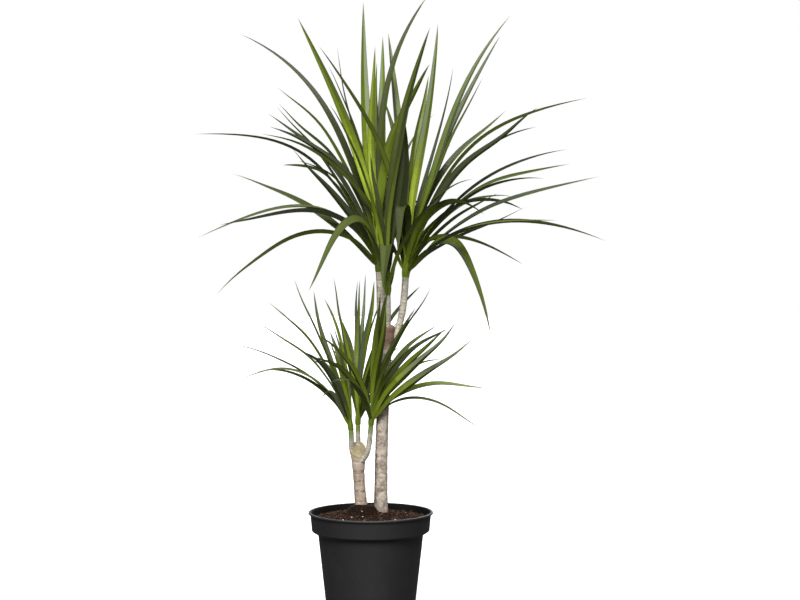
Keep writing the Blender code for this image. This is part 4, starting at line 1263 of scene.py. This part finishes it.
def bark_material(name, main, dark, crack, patches, scars, tint, tint_from, tint_to, tint_most,
                  left_darkening=0.0):
    """Bark whose colour passes to a tint between two heights, and that is darker on its left side."""
    main, dark, crack, tint = (tuple(colour) for colour in (main, dark, crack, tint))
    made, shader, graph = new_material(name, main, 0.8)
    place = object_place(graph)
    scar = graph.made("ShaderNodeAttribute", {"attribute_name": "scar"}, "Fac")
    pale = tuple(min(PALE_LIGHTER * value, PALE_MOST) for value in main)
    bark = place_group(graph, bark_group(), Place=place, Scar=scar, Main=(*main, 1.0),
                       Dark=(*dark, 1.0), Crack=(*crack, 1.0), Pale=(*pale, 1.0), Patches=patches,
                       Scar_Strength=scars)
    colour = bark["Color"]
    # Darker towards the left side: the colour turns to the crack colour where the bark faces left
    if left_darkening:
        normal = graph.made("ShaderNodeNewGeometry", output="Normal")
        leftward = dot(normal, (-1.0, 0.0, 0.0)) + graph.noise(place, 160.0, 2.0) * 0.5
        share = graph.ease(leftward, *LEFT_DARK_FACING, 0.0, left_darkening)
        colour = graph.mix_colour(colour, (*crack, 1.0), share)
    _, _, z = graph.separated(place)
    height = graph.noise(place, 120.0, 2.0) * TINT_WANDER + z
    share = graph.ease(height, tint_from, tint_to, 0.0, tint_most)
    graph.feed(shader.inputs["Base Color"], graph.mix_colour(colour, (*tint, 1.0), share))
    graph.feed(shader.inputs["Roughness"], bark["Roughness"])
    add_bump(graph, shader, bark["Height"], BARK_BUMP, BARK_BUMP_DEPTH)
    return made


def cane_line(foot, top, radii, step):
    """Centres and radii along a cane, by the rule of its solid, sampled finely."""
    count = max(int((top - foot).length / step), 8)
    bow = CANE_BOW * (top - foot).length
    centres, widths = [], []
    last = len(radii) - 1
    for i in range(count + 1):
        share = i / count
        centre = foot.lerp(top, share) - Vector((bow * math.sin(math.pi * share), 0, 0))
        place = share * last
        low = min(int(place), last - 1)
        part = eased(place - low, 0.0, 1.0)
        centres.append(centre)
        widths.append(radii[low] + (radii[low + 1] - radii[low]) * part)
    return centres, widths


def knobbed(centres, radii):
    """Turns the top of the tall cane into a healed knob that leans to the right."""
    runs = runs_along(centres)
    made, widths, burls = [], [], []
    for centre, radius, run in zip(centres, radii, runs):
        left = runs[-1] - run
        swell = eased(left, KNOB_LENGTH, KNOB_FULL * KNOB_LENGTH)
        waist = 1 - abs(left / KNOB_LENGTH - WAIST_AT) / WAIST_SPREAD
        dome = math.sqrt(max(1 - (1 - min(left / KNOB_DOME, 1.0)) ** 2, 0.0))
        made.append(centre + Vector((KNOB_LEAN * swell, 0, 0)))
        widths.append((radius + KNOB_SWELL * swell - KNOB_WAIST * max(waist, 0.0)) * dome + KNOB_POLE)
        burls.append(1 + KNOB_BURL * swell)
    return made, widths, burls


def girdled(centres, height, width):
    """1 at a ring round a limb at the given height, and 0 away from it."""
    return [max(0.0, 1 - abs(centre.z - height) / width) for centre in centres]


def branch_line(head, step):
    """Centres and radii of a branch, from inside its cane up into the foot of its head."""
    branch = head.branch
    axis = (head.core_top - head.core_foot).normalized()
    tip = head.core_foot - axis * GAP
    under = tip - axis * BRANCH_STRAIGHT * (tip - branch.foot).length
    count = max(int(CURVE_SLACK * (tip - branch.foot).length / step), 12)
    centres, widths = [], []
    for i in range(count + 1):
        t = i / count
        centres.append(bezier(branch.foot, branch.out, under, tip, t))
        collar = 1 + COLLAR_SWELL * (1 - eased(t, 0.0, COLLAR_SHARE))
        widths.append((branch.foot_radius + (branch.tip_radius - branch.foot_radius) * t) * collar)
    return centres, widths


def make_limb(name, centres, radii, tree, values, burls=None, girdles=None):
    """A limb along a line. burls scale its lumps, and girdles are deep dark rings, point by point."""
    count = len(centres)
    attributes = {"radius": radii, "run": runs_along(centres), "burl": burls or [1.0] * count,
                  "girdle": girdles or [0.0] * count}
    edges = [(i, i + 1) for i in range(count - 1)]
    limb = grown(points_object(name, centres, attributes, edges), tree, values)
    outward(limb.data)
    return limb


def filleted(corners, steps=4):
    """A profile through the corners, each (radius, height, rounding), with its corners rounded."""
    made = []
    for i, (x, z, rounding) in enumerate(corners):
        here = Vector((x, z))
        if not rounding or i in (0, len(corners) - 1):
            made.append(here)
            continue
        before = (Vector(corners[i - 1][:2]) - here).normalized()
        after = (Vector(corners[i + 1][:2]) - here).normalized()
        half = math.acos(max(-1.0, min(1.0, before.dot(after)))) / 2
        reach = rounding / math.tan(half)
        start, end = here + before * reach, here + after * reach
        for k in range(steps + 1):
            t = k / steps
            made.append(start.lerp(here, t).lerp(here.lerp(end, t), t))
    return made


def lathed(name, profile, sides):
    """A mesh turned about Z from a profile that starts and ends on the axis."""
    corners, faces, rings = [], [], []
    for point in profile:
        count = 1 if point.x < SAME_PLACE else sides
        rings.append([len(corners) + k % count for k in range(sides)])
        corners += [(point.x * x, point.x * y, point.y) for x, y in unit_circle(count)]
    for low, high in zip(rings, rings[1:]):
        for k in range(sides):
            n = (k + 1) % sides
            faces.append(tuple(dict.fromkeys((low[k], low[n], high[n], high[k]))))
    mesh = bpy.data.meshes.new(name)
    mesh.from_pydata(corners, [], faces)
    outward(mesh)
    return new_object(name, mesh)


def drained_shape():
    """Bores a ring of drain holes through the pot's base."""
    graph, given = shape_graph("drain_holes", Int=["Holes"], Material=["Material"],
                               Float=["Hole Radius", "Hole Circle", "Depth"])
    circle = graph.made("GeometryNodeMeshCircle", Vertices=given["Holes"], Radius=given["Hole Circle"])
    drill = graph.made("GeometryNodeMeshCylinder", Vertices=20, Radius=given["Hole Radius"],
                       Depth=given["Depth"])
    drills = graph.made("GeometryNodeInstanceOnPoints", Points=circle, Instance=drill)
    drills = graph.made("GeometryNodeRealizeInstances", Geometry=drills)
    pot = graph.made("GeometryNodeMeshBoolean", {"operation": "DIFFERENCE", "solver": "EXACT"},
                     Mesh_1=given["Geometry"], Mesh_2=drills)
    return end_shape(graph, graph.dress(pot, True, given["Material"]))


def floor_material(settings):
    """Pale paint that looks white and throws little light back up."""
    made, shader, graph = new_material("studio_floor_paint", settings.floor, 0.8)
    grain = place_group(graph, grain_group(), Place=object_place(graph), Scale=40.0, Roughness=0.8,
                        Spread=0.1)
    graph.feed(shader.inputs["Roughness"], grain["Roughness"])
    seen = graph.made("ShaderNodeLightPath", output="Is Camera Ray")
    colour = graph.mix_colour((*settings.floor_bounce, 1.0), (*settings.floor, 1.0), seen)
    graph.feed(shader.inputs["Base Color"], colour)
    shader.inputs["Emission Color"].default_value = (1.0, 1.0, 1.0, 1.0)
    graph.feed(shader.inputs["Emission Strength"], seen * settings.floor_glow)
    return made


def plastic_material(settings):
    """Matt black plastic, with uneven gloss, a little dust, and painted shade and less gloss inside."""
    made, shader, graph = new_material("nursery_plastic", settings.plastic, PLASTIC_ROUGHNESS)
    place = object_place(graph)
    grain = place_group(graph, grain_group(), Place=place, Scale=900.0, Roughness=PLASTIC_ROUGHNESS,
                        Spread=0.16)
    smear = graph.patches(place * (1.0, 1.0, 0.45), 34.0, 0.50, 0.78, 4.0)
    dusty = tuple(DUST_LIGHTER * value for value in settings.plastic)
    colour = graph.mix_colour((*settings.plastic, 1.0), (*dusty, 1.0), smear * DUST_SHARE)
    # Inside the wall the colour turns to painted shade, for the shade of the rim and the leaves
    normal = graph.made("ShaderNodeNewGeometry", output="Normal")
    outside = graph.ease(dot(normal, place * (1.0, 1.0, 0.0)), -0.03, 0.0)
    graph.feed(shader.inputs["Base Color"], graph.mix_colour((*settings.inner_shade, 1.0), colour, outside))
    graph.feed(shader.inputs["Roughness"], grain["Roughness"])
    graph.feed(shader.inputs["Specular IOR Level"], blend(GLOSS_INSIDE, GLOSS_OUTSIDE, outside))
    add_bump(graph, shader, grain["Height"], 0.07, 0.0003)
    return made


def bed_height(x, y, edge_radius):
    """Height of the compost: its dome, and a mound round the foot of each cane."""
    share = min(math.hypot(x, y) / edge_radius, 1.0)
    height = COMPOST_EDGE_HEIGHT
    height += (COMPOST_CROWN_HEIGHT - COMPOST_EDGE_HEIGHT) * math.cos(share * math.pi / 2)
    for seat in (TALL_FOOT, SHORT_FOOT):
        away = math.hypot(x - seat.x, y - seat.y)
        mound = seat.z - GAP
        fall = eased(away, MOUND_FLAT, MOUND_END)
        height = max(height, mound + (height - mound) * fall)
    heaped = 1 - eased(math.hypot(x - HEAP.x, y - HEAP.y), HEAP_TOP_RADIUS, HEAP_RADIUS)
    return height + (HEAP.z - height) * heaped


def bed_mesh(rings=64, sides=160):
    """The compost as a closed body inside the pot, with a fine polar net on top."""
    inner = POT_WALL + GAP
    slope = (BAND_TOP_RADIUS - BAND_FOOT_RADIUS) / (POT_HEIGHT - LIP_HEIGHT - BAND_FOOT_HEIGHT)
    edge = BAND_FOOT_RADIUS - inner - GAP + slope * (COMPOST_EDGE_HEIGHT - BAND_FOOT_HEIGHT)
    lower = [
        (BAND_FOOT_RADIUS - inner - GAP, BAND_FOOT_HEIGHT + inner),
        (NECK_RADIUS - inner - GAP, NECK_HEIGHT + inner),
        (FOOT_RADIUS - inner - GAP, FOOT_CHAMFER + inner),
        (FOOT_RADIUS - FOOT_CHAMFER - inner, inner),
    ]
    circle = unit_circle(sides)
    spots = [(0.0, 0.0)]
    for radius in (edge * ring / rings for ring in range(1, rings + 1)):
        spots += [(radius * x, radius * y) for x, y in circle]
    corners = [(x, y, bed_height(x, y, edge)) for x, y in spots]
    for radius, height in lower:
        corners += [(radius * x, radius * y, height) for x, y in circle]
    corners.append((0.0, 0.0, inner))
    faces = [(0, 1 + k, 1 + (k + 1) % sides) for k in range(sides)]
    base = 1 + (rings + len(lower) - 1) * sides
    for low in range(1, base, sides):
        high = low + sides
        faces += [(low + k, high + k, high + (k + 1) % sides, low + (k + 1) % sides) for k in range(sides)]
    faces += [(base + (k + 1) % sides, base + k, len(corners) - 1) for k in range(sides)]
    mesh = bpy.data.meshes.new("compost_bed")
    mesh.from_pydata(corners, [], faces)
    layer = mesh.attributes.new("top", "FLOAT", "POINT")
    inside = [1.0 if i < len(spots) and math.hypot(x, y) < edge - BED_MARGIN else 0.0
              for i, (x, y, z) in enumerate(corners)]
    layer.data.foreach_set("value", inside)
    outward(mesh)
    return mesh, edge


def scattered(graph, bed, grain, kind, density, seed, keep_within):
    """Grains of one kind laid on the bed at random places, turned and sized at random."""
    x, y, _ = graph.separated(graph.position())
    away = graph.math("SQRT", x * x + y * y)
    on_top = (graph.attribute("top") > 0.99) * (away < keep_within)
    spots = graph.made("GeometryNodeDistributePointsOnFaces", Mesh=bed, Selection=on_top,
                       Density=density, Seed=seed)
    spin = graph.made("FunctionNodeRandomValue", {"data_type": "FLOAT_VECTOR"}, Seed=seed,
                      Min=(-CHIP_TILT, -CHIP_TILT, -math.pi), Max=(CHIP_TILT, CHIP_TILT, math.pi))
    turn = graph.made("FunctionNodeEulerToRotation", Euler=spin)
    size = graph.made("FunctionNodeRandomValue", {"data_type": "FLOAT"}, Min=kind.smallest,
                      Max=kind.largest, Seed=seed)
    grains = graph.made("GeometryNodeInstanceOnPoints", Points=spots, Instance=grain, Rotation=turn,
                        Scale=graph.combined(size, size, size))
    return graph.made("GeometryNodeTranslateInstances", Instances=grains,
                      Translation=(0.0, 0.0, kind.lift), Local_Space=False)


def lump(graph, kind, material):
    """An uneven grain of unit size: a ball that is squashed to a shape and dented."""
    ball = graph.made("GeometryNodeMeshIcoSphere", Radius=0.5, Subdivisions=2)
    dent = graph.noise(graph.position(), kind.dents, 1.0) * DENT_DEPTH + DENT_LEVEL
    ball = graph.made("GeometryNodeSetPosition", Geometry=ball,
                      Position=graph.position() * kind.shape * dent)
    return graph.dress(ball, True, material)


def compost_shape(materials):
    """Roughens the bed and strews it with crumbs, bark chips, fibres and white grains."""
    graph, given = shape_graph("compost_surface", Float=["Relief", "Density", "Keep Within"], Int=["Seed"])
    place = graph.position()
    coarse = graph.noise(place, 95.0, 3.0, 0.6)
    fine = graph.noise(place, 420.0, 3.0, 0.6)
    height = (fine * FINE_RELIEF + coarse - RELIEF_LEVEL) * given["Relief"] * graph.attribute("top")
    bed = graph.made("GeometryNodeSetPosition", Geometry=given["Geometry"], Offset=graph.combined(z=height))
    bed = graph.dress(bed, True, materials[0])
    pieces = [bed]
    for i, (kind, material) in enumerate(zip(GRAINS, materials[1:])):
        pieces.append(scattered(graph, bed, lump(graph, kind, material), kind,
                                given["Density"] * kind.share, given["Seed"] + i, given["Keep Within"]))
    return end_shape(graph, graph.made("GeometryNodeRealizeInstances", Geometry=graph.join(pieces)))


def compost_materials(settings):
    """The materials of the bed and then of each kind of grain."""
    peat, bark = Vector(settings.peat), Vector(settings.bark)
    finishes = (
        ("peat", peat, Finish(0.95, 500.0, 0.1, 0.8, 0.0015)),
        ("crumb", peat * 1.7, Finish(0.92, 700.0, 0.1, 0.6, 0.0008)),
        ("bark", bark * 0.62, Finish(0.85, 800.0, 0.15, 0.5, 0.0006)),
        ("bright_bark", bark * 1.6, Finish(0.80, 800.0, 0.15, 0.5, 0.0006)),
        ("fibre", settings.fibre, Finish(0.85, 900.0, 0.1, 0.4, 0.0004)),
        ("perlite", settings.perlite, Finish(0.75, 900.0, 0.1, 0.5, 0.0004)),
    )
    return [grained("compost_" + name, colour, finish, specular=0.12) for name, colour, finish in finishes]


class DRAGONTREE_OT_studio(bpy.types.Operator):
    """Sets up the floor, the light and the viewer's camera"""

    bl_idname = "dragontree.studio"
    bl_label = "Studio"

    def execute(self, context):
        settings = context.scene.dragontree_studio
        mesh = bpy.data.meshes.new("studio_floor")
        corners = [(x * FLOOR_REACH, y * FLOOR_REACH, 0) for x, y in ((-1, -1), (1, -1), (1, 1), (-1, 1))]
        mesh.from_pydata(corners, [], [(0, 1, 2, 3)])
        floor = new_object("studio_floor", mesh)
        mesh.materials.append(floor_material(settings))
        self.add_sun("key_light", settings.key, spread=24, pitch=46, heading=-8)
        self.add_sun("top_light", settings.top, spread=80, pitch=6, heading=-30)
        self.add_sun("back_light", settings.back, spread=60, pitch=50, heading=165)
        self.light_world(context.scene, settings.sky)
        camera = bpy.data.cameras.new("viewer")
        camera.lens = LENS_MM
        camera.sensor_width = SENSOR_MM
        eye = new_object("viewer", camera)
        eye.location = EYE
        eye.rotation_euler = (math.pi / 2, 0, 0)
        context.scene.camera = eye
        context.scene.view_settings.view_transform = "Standard"
        return {"FINISHED"}

    @staticmethod
    def add_sun(name, strength, spread, pitch, heading):
        """A sun whose rays lean from straight down by its pitch, towards its heading, in degrees."""
        lamp = bpy.data.lights.new(name, "SUN")
        lamp.energy = strength
        lamp.angle = math.radians(spread)
        new_object(name, lamp).rotation_euler = (math.radians(pitch), 0, math.radians(heading))

    @staticmethod
    def light_world(scene, sky):
        """A white backdrop that throws less light than it shows, and most from the front and above."""
        world = bpy.data.worlds.new("studio_world")
        world.use_nodes = True
        scene.world = world
        graph = Graph(world.node_tree)
        background = world.node_tree.nodes["Background"]
        seen = graph.made("ShaderNodeLightPath", output="Is Camera Ray")
        way = graph.made("ShaderNodeTexCoord", output="Generated")
        x, _, _ = graph.separated(way)
        strength = graph.ease(dot(way, SKY_FROM), *SKY_PASSAGE, SKY_DARKEST * sky, SKY_BRIGHTEST * sky)
        strength = strength * graph.ease(abs(x), *SIDE_PASSAGE, 1.0, SIDE_LEAST)
        graph.feed(background.inputs["Color"], (1.0, 1.0, 1.0, 1.0))
        graph.feed(background.inputs["Strength"], blend(strength, 1.0, seen))


class DRAGONTREE_OT_pot(bpy.types.Operator):
    """Turns the nursery pot and bores its drain holes"""

    bl_idname = "dragontree.pot"
    bl_label = "Pot"

    def execute(self, context):
        settings = context.scene.dragontree_pot
        edge, corner = settings.lip_round, settings.corner_round
        outer = [
            (0.0, 0.0, 0),
            (FOOT_RADIUS - FOOT_CHAMFER, 0.0, corner),
            (FOOT_RADIUS, FOOT_CHAMFER, corner),
            (NECK_RADIUS, NECK_HEIGHT, NECK_ROUND),
            (BAND_FOOT_RADIUS, BAND_FOOT_HEIGHT, corner),
            (BAND_TOP_RADIUS, POT_HEIGHT - LIP_HEIGHT, LIP_FOOT_ROUND),
            (LIP_RADIUS, POT_HEIGHT - 0.7 * LIP_HEIGHT, edge),
            (LIP_RADIUS - LIP_SLOPE, POT_HEIGHT, edge),
        ]
        step = 0.6 * POT_WALL
        inner = [
            (BAND_TOP_RADIUS - 0.5 * POT_WALL, POT_HEIGHT, edge),
            (BAND_TOP_RADIUS - POT_WALL, POT_HEIGHT - LIP_HEIGHT, 0.0),
            (BAND_FOOT_RADIUS - POT_WALL, BAND_FOOT_HEIGHT + step, 0.0),
            (NECK_RADIUS - POT_WALL, NECK_HEIGHT + step, 0.0),
            (FOOT_RADIUS - POT_WALL, FOOT_CHAMFER + POT_WALL, 0.0),
            (FOOT_RADIUS - FOOT_CHAMFER - POT_WALL, POT_WALL, 0.0),
            (0.0, POT_WALL, 0),
        ]
        shell = lathed("pot_shell", filleted(outer + inner), settings.sides)
        shell = grown(shell, drained_shape(), {
            "Holes": DRAIN_HOLES, "Hole Radius": DRAIN_RADIUS, "Hole Circle": DRAIN_CIRCLE,
            "Depth": 4 * POT_WALL, "Material": plastic_material(settings),
        })
        finished(shell, ["pot"], sharp_over=40)
        return {"FINISHED"}


class DRAGONTREE_OT_compost(bpy.types.Operator):
    """Fills the pot with compost"""

    bl_idname = "dragontree.compost"
    bl_label = "Compost"

    def execute(self, context):
        settings = context.scene.dragontree_compost
        mesh, edge = bed_mesh()
        bed = new_object("compost_bed", mesh)
        bed = grown(bed, compost_shape(compost_materials(settings)), {
            "Relief": settings.relief, "Density": settings.crumbs * 100.0, "Seed": settings.seed,
            "Keep Within": edge - GRAIN_MARGIN,
        })
        finished(bed, ["compost"])
        return {"FINISHED"}


def limb_values(settings, material, sides, spacing, scale, shift, depth=1.0, lumps=1.0):
    """What the limb tree is given. spacing, depth and lumps multiply the bark's settings."""
    return {"Sides": sides, "Ring Spacing": spacing * settings.ring_spacing,
            "Ring Depth": depth * settings.ring_depth, "Lumps": lumps * settings.lumps,
            "Lump Scale": scale, "Shift": shift, "Material": material}


class DRAGONTREE_OT_canes(bpy.types.Operator):
    """Gives the two canes their bark, and the short one its cut"""

    bl_idname = "dragontree.canes"
    bl_label = "Canes"

    def execute(self, context):
        settings = context.scene.dragontree_bark
        tree = limb_shape()
        bark = bark_material("cane_bark_tall", settings.tall, settings.tall_dark, settings.crack,
                             patches=0.62, scars=0.15, tint=settings.knob, tint_from=0.412,
                             tint_to=0.436, tint_most=0.85, left_darkening=0.85)
        centres, radii = cane_line(TALL_FOOT, TALL_TOP, TALL_RADII, settings.step)
        centres, radii, burls = knobbed(centres, radii)
        values = limb_values(settings, bark, settings.sides, spacing=2.2, scale=130.0, shift=0.0)
        cane = make_limb("cane_tall_bark", centres, radii, tree, values, burls,
                         girdled(centres, KNOB_CRACK_HEIGHT, GIRDLE_WIDTH))
        finished(cane, ["cane_tall"], sharp_over=60)

        bark = bark_material("cane_bark_short", settings.short, settings.short_dark, settings.crack,
                             patches=0.6, scars=0.6, tint=settings.short_top, tint_from=0.228,
                             tint_to=0.242, tint_most=0.75, left_darkening=0.3)
        wood = bark_material("cane_cut_wood", settings.wood, settings.wood_dark, settings.crack,
                             patches=0.7, scars=0.0, tint=settings.wood_rim, tint_from=0.2535,
                             tint_to=0.2495, tint_most=0.8)
        centres, radii = cane_line(SHORT_FOOT, SHORT_TOP, SHORT_RADII, settings.step)
        values = limb_values(settings, bark, settings.sides, spacing=2.6, scale=170.0, shift=3.7,
                             depth=1.6)
        cane = make_limb("cane_short_bark", centres, radii, tree, values,
                         girdles=girdled(centres, GIRDLE_HEIGHT, GIRDLE_WIDTH))
        self.saw(cane.data, wood)
        finished(cane, ["cane_short"], sharp_over=50)
        return {"FINISHED"}

    @staticmethod
    def saw(mesh, wood):
        """Saws a cane off at a slant that faces the viewer, and shows the pale wood."""
        mesh.materials.append(wood)
        normal = Vector((0, -math.sin(SHORT_CUT_TILT), math.cos(SHORT_CUT_TILT)))
        bm = bmesh.new()
        bm.from_mesh(mesh)
        cut = bmesh.ops.bisect_plane(bm, geom=bm.verts[:] + bm.edges[:] + bm.faces[:], dist=SAME_PLACE,
                                     plane_co=SHORT_CUT_POINT, plane_no=normal, clear_outer=True)
        rim = [e for e in cut["geom_cut"] if isinstance(e, bmesh.types.BMEdge)]
        disc = bmesh.ops.edgeloop_fill(bm, edges=rim)["faces"][0]
        outer = list(disc.verts)
        bm.faces.remove(disc)
        edge = [corner.co.copy() for corner in outer]
        middle = sum(edge, Vector()) / len(edge)
        wood_slot = len(mesh.materials) - 1
        for share, rise in CALLUS_RINGS:
            inner = []
            for place in edge:
                spot = middle.lerp(place, share)
                lump = CALLUS_LUMPS * noise.noise(spot * CALLUS_SCALE)
                inner.append(bm.verts.new(spot + normal * (rise + lump)))
            for k in range(len(edge)):
                n = (k + 1) % len(edge)
                bm.faces.new((outer[k], outer[n], inner[n], inner[k])).material_index = wood_slot
            outer = inner
        bm.faces.new(outer).material_index = wood_slot
        bmesh.ops.recalc_face_normals(bm, faces=bm.faces)
        bm.to_mesh(mesh)
        bm.free()


class DRAGONTREE_OT_branches(bpy.types.Operator):
    """Gives each branch its ringed bark"""

    bl_idname = "dragontree.branches"
    bl_label = "Branches"

    def execute(self, context):
        settings = context.scene.dragontree_bark
        tree = limb_shape()
        for i, head in enumerate(HEADS):
            is_upper = "upper" in head.name
            green_from, green_to = GREEN_ABOVE_TIP if is_upper else GREEN_BELOW_TIP
            name = head.branch.name
            bark = bark_material(name + "_bark", settings.branch, settings.branch_dark, settings.crack,
                                 patches=0.45, scars=0.5, tint=settings.green,
                                 tint_from=head.core_foot.z + green_from,
                                 tint_to=head.core_foot.z + green_to, tint_most=0.9, left_darkening=0.3)
            centres, radii = branch_line(head, settings.step)
            values = limb_values(settings, bark, BRANCH_SIDES, spacing=1.0 if is_upper else 0.8,
                                 scale=190.0, shift=1.3 * i, lumps=0.5)
            limb = make_limb(name + "_bark", centres, radii, tree, values)
            finished(limb, [name], sharp_over=60)
        return {"FINISHED"}


class DRAGONTREE_OT_leaves(bpy.types.Operator):
    """Grows the leaves of every head, and the green core that they clasp"""

    bl_idname = "dragontree.leaves"
    bl_label = "Leaves"

    def execute(self, context):
        settings = context.scene.dragontree_leaves
        materials = leaf_materials(settings)
        tree = leaf_shape(materials)
        limb_tree = limb_shape()
        values = {
            "Segments": settings.segments, "Ring": BLADE_SIDES, "Fold": settings.fold,
            "Root Fold": settings.root_fold, "Thickness": settings.thickness, "Waver": settings.waver,
        }
        placed = placed_leaves()
        for i, head in enumerate(HEADS):
            own = [(index, leaf, azimuth) for owner, index, leaf, azimuth in placed if owner is head]
            rows = leaf_rows(head, own, settings)
            crown = points_object(head.name.replace("leaf_head", "leaves"), rows["seat"], rows)
            grown(crown, tree, values)
            outward(crown.data)
            finished(crown, [head.name], sharp_over=28)
            shares = [k / CORE_STEPS for k in range(CORE_STEPS + 1)]
            centres = [head.core_foot.lerp(head.core_top, CORE_SHARE * t) for t in shares]
            radii = [core_radius(head, t) for t in shares]
            core = make_limb(head.name.replace("leaf_head", "core"), centres, radii, limb_tree, {
                "Sides": 24, "Ring Spacing": 0.006, "Ring Depth": 0.0004, "Lumps": 0.0004,
                "Lump Scale": 200.0, "Shift": 0.7 * i,
                "Material": materials[round(head.base_tone * TONE_STEPS)],
            })
            finished(core, [])
        return {"FINISHED"}


class DRAGONTREE_PT_panel(bpy.types.Panel):
    """Lists the steps that build the plant"""

    bl_idname = "DRAGONTREE_PT_panel"
    bl_label = "Potted dragon tree"
    bl_space_type = "VIEW_3D"
    bl_region_type = "UI"
    bl_category = "Dragon tree"

    def draw(self, context):
        for operator in OPERATORS:
            self.layout.operator(operator.bl_idname)
        for key in SETTINGS:
            box = self.layout.box()
            settings = getattr(context.scene, key)
            for name in settings.bl_rna.properties.keys():
                if name not in ("rna_type", "name"):
                    box.prop(settings, name)


SETTINGS = {
    "dragontree_studio": StudioSettings,
    "dragontree_pot": PotSettings,
    "dragontree_compost": CompostSettings,
    "dragontree_bark": BarkSettings,
    "dragontree_leaves": LeafSettings,
}
OPERATORS = (DRAGONTREE_OT_studio, DRAGONTREE_OT_pot, DRAGONTREE_OT_compost, DRAGONTREE_OT_canes,
             DRAGONTREE_OT_branches, DRAGONTREE_OT_leaves)


def register():
    for group in SETTINGS.values():
        bpy.utils.register_class(group)
    for cls in (*OPERATORS, DRAGONTREE_PT_panel):
        bpy.utils.register_class(cls)
    for key, group in SETTINGS.items():
        setattr(bpy.types.Scene, key, bpy.props.PointerProperty(type=group))


def unregister():
    for key in SETTINGS:
        delattr(bpy.types.Scene, key)
    for cls in (DRAGONTREE_PT_panel, *reversed(OPERATORS)):
        bpy.utils.unregister_class(cls)
    for group in SETTINGS.values():
        bpy.utils.unregister_class(group)


def main():
    register()
    bpy.ops.dragontree.studio()
    bpy.ops.dragontree.pot()
    bpy.ops.dragontree.compost()
    bpy.ops.dragontree.canes()
    bpy.ops.dragontree.branches()
    bpy.ops.dragontree.leaves()
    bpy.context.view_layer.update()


if __name__ == "__main__":
    main()
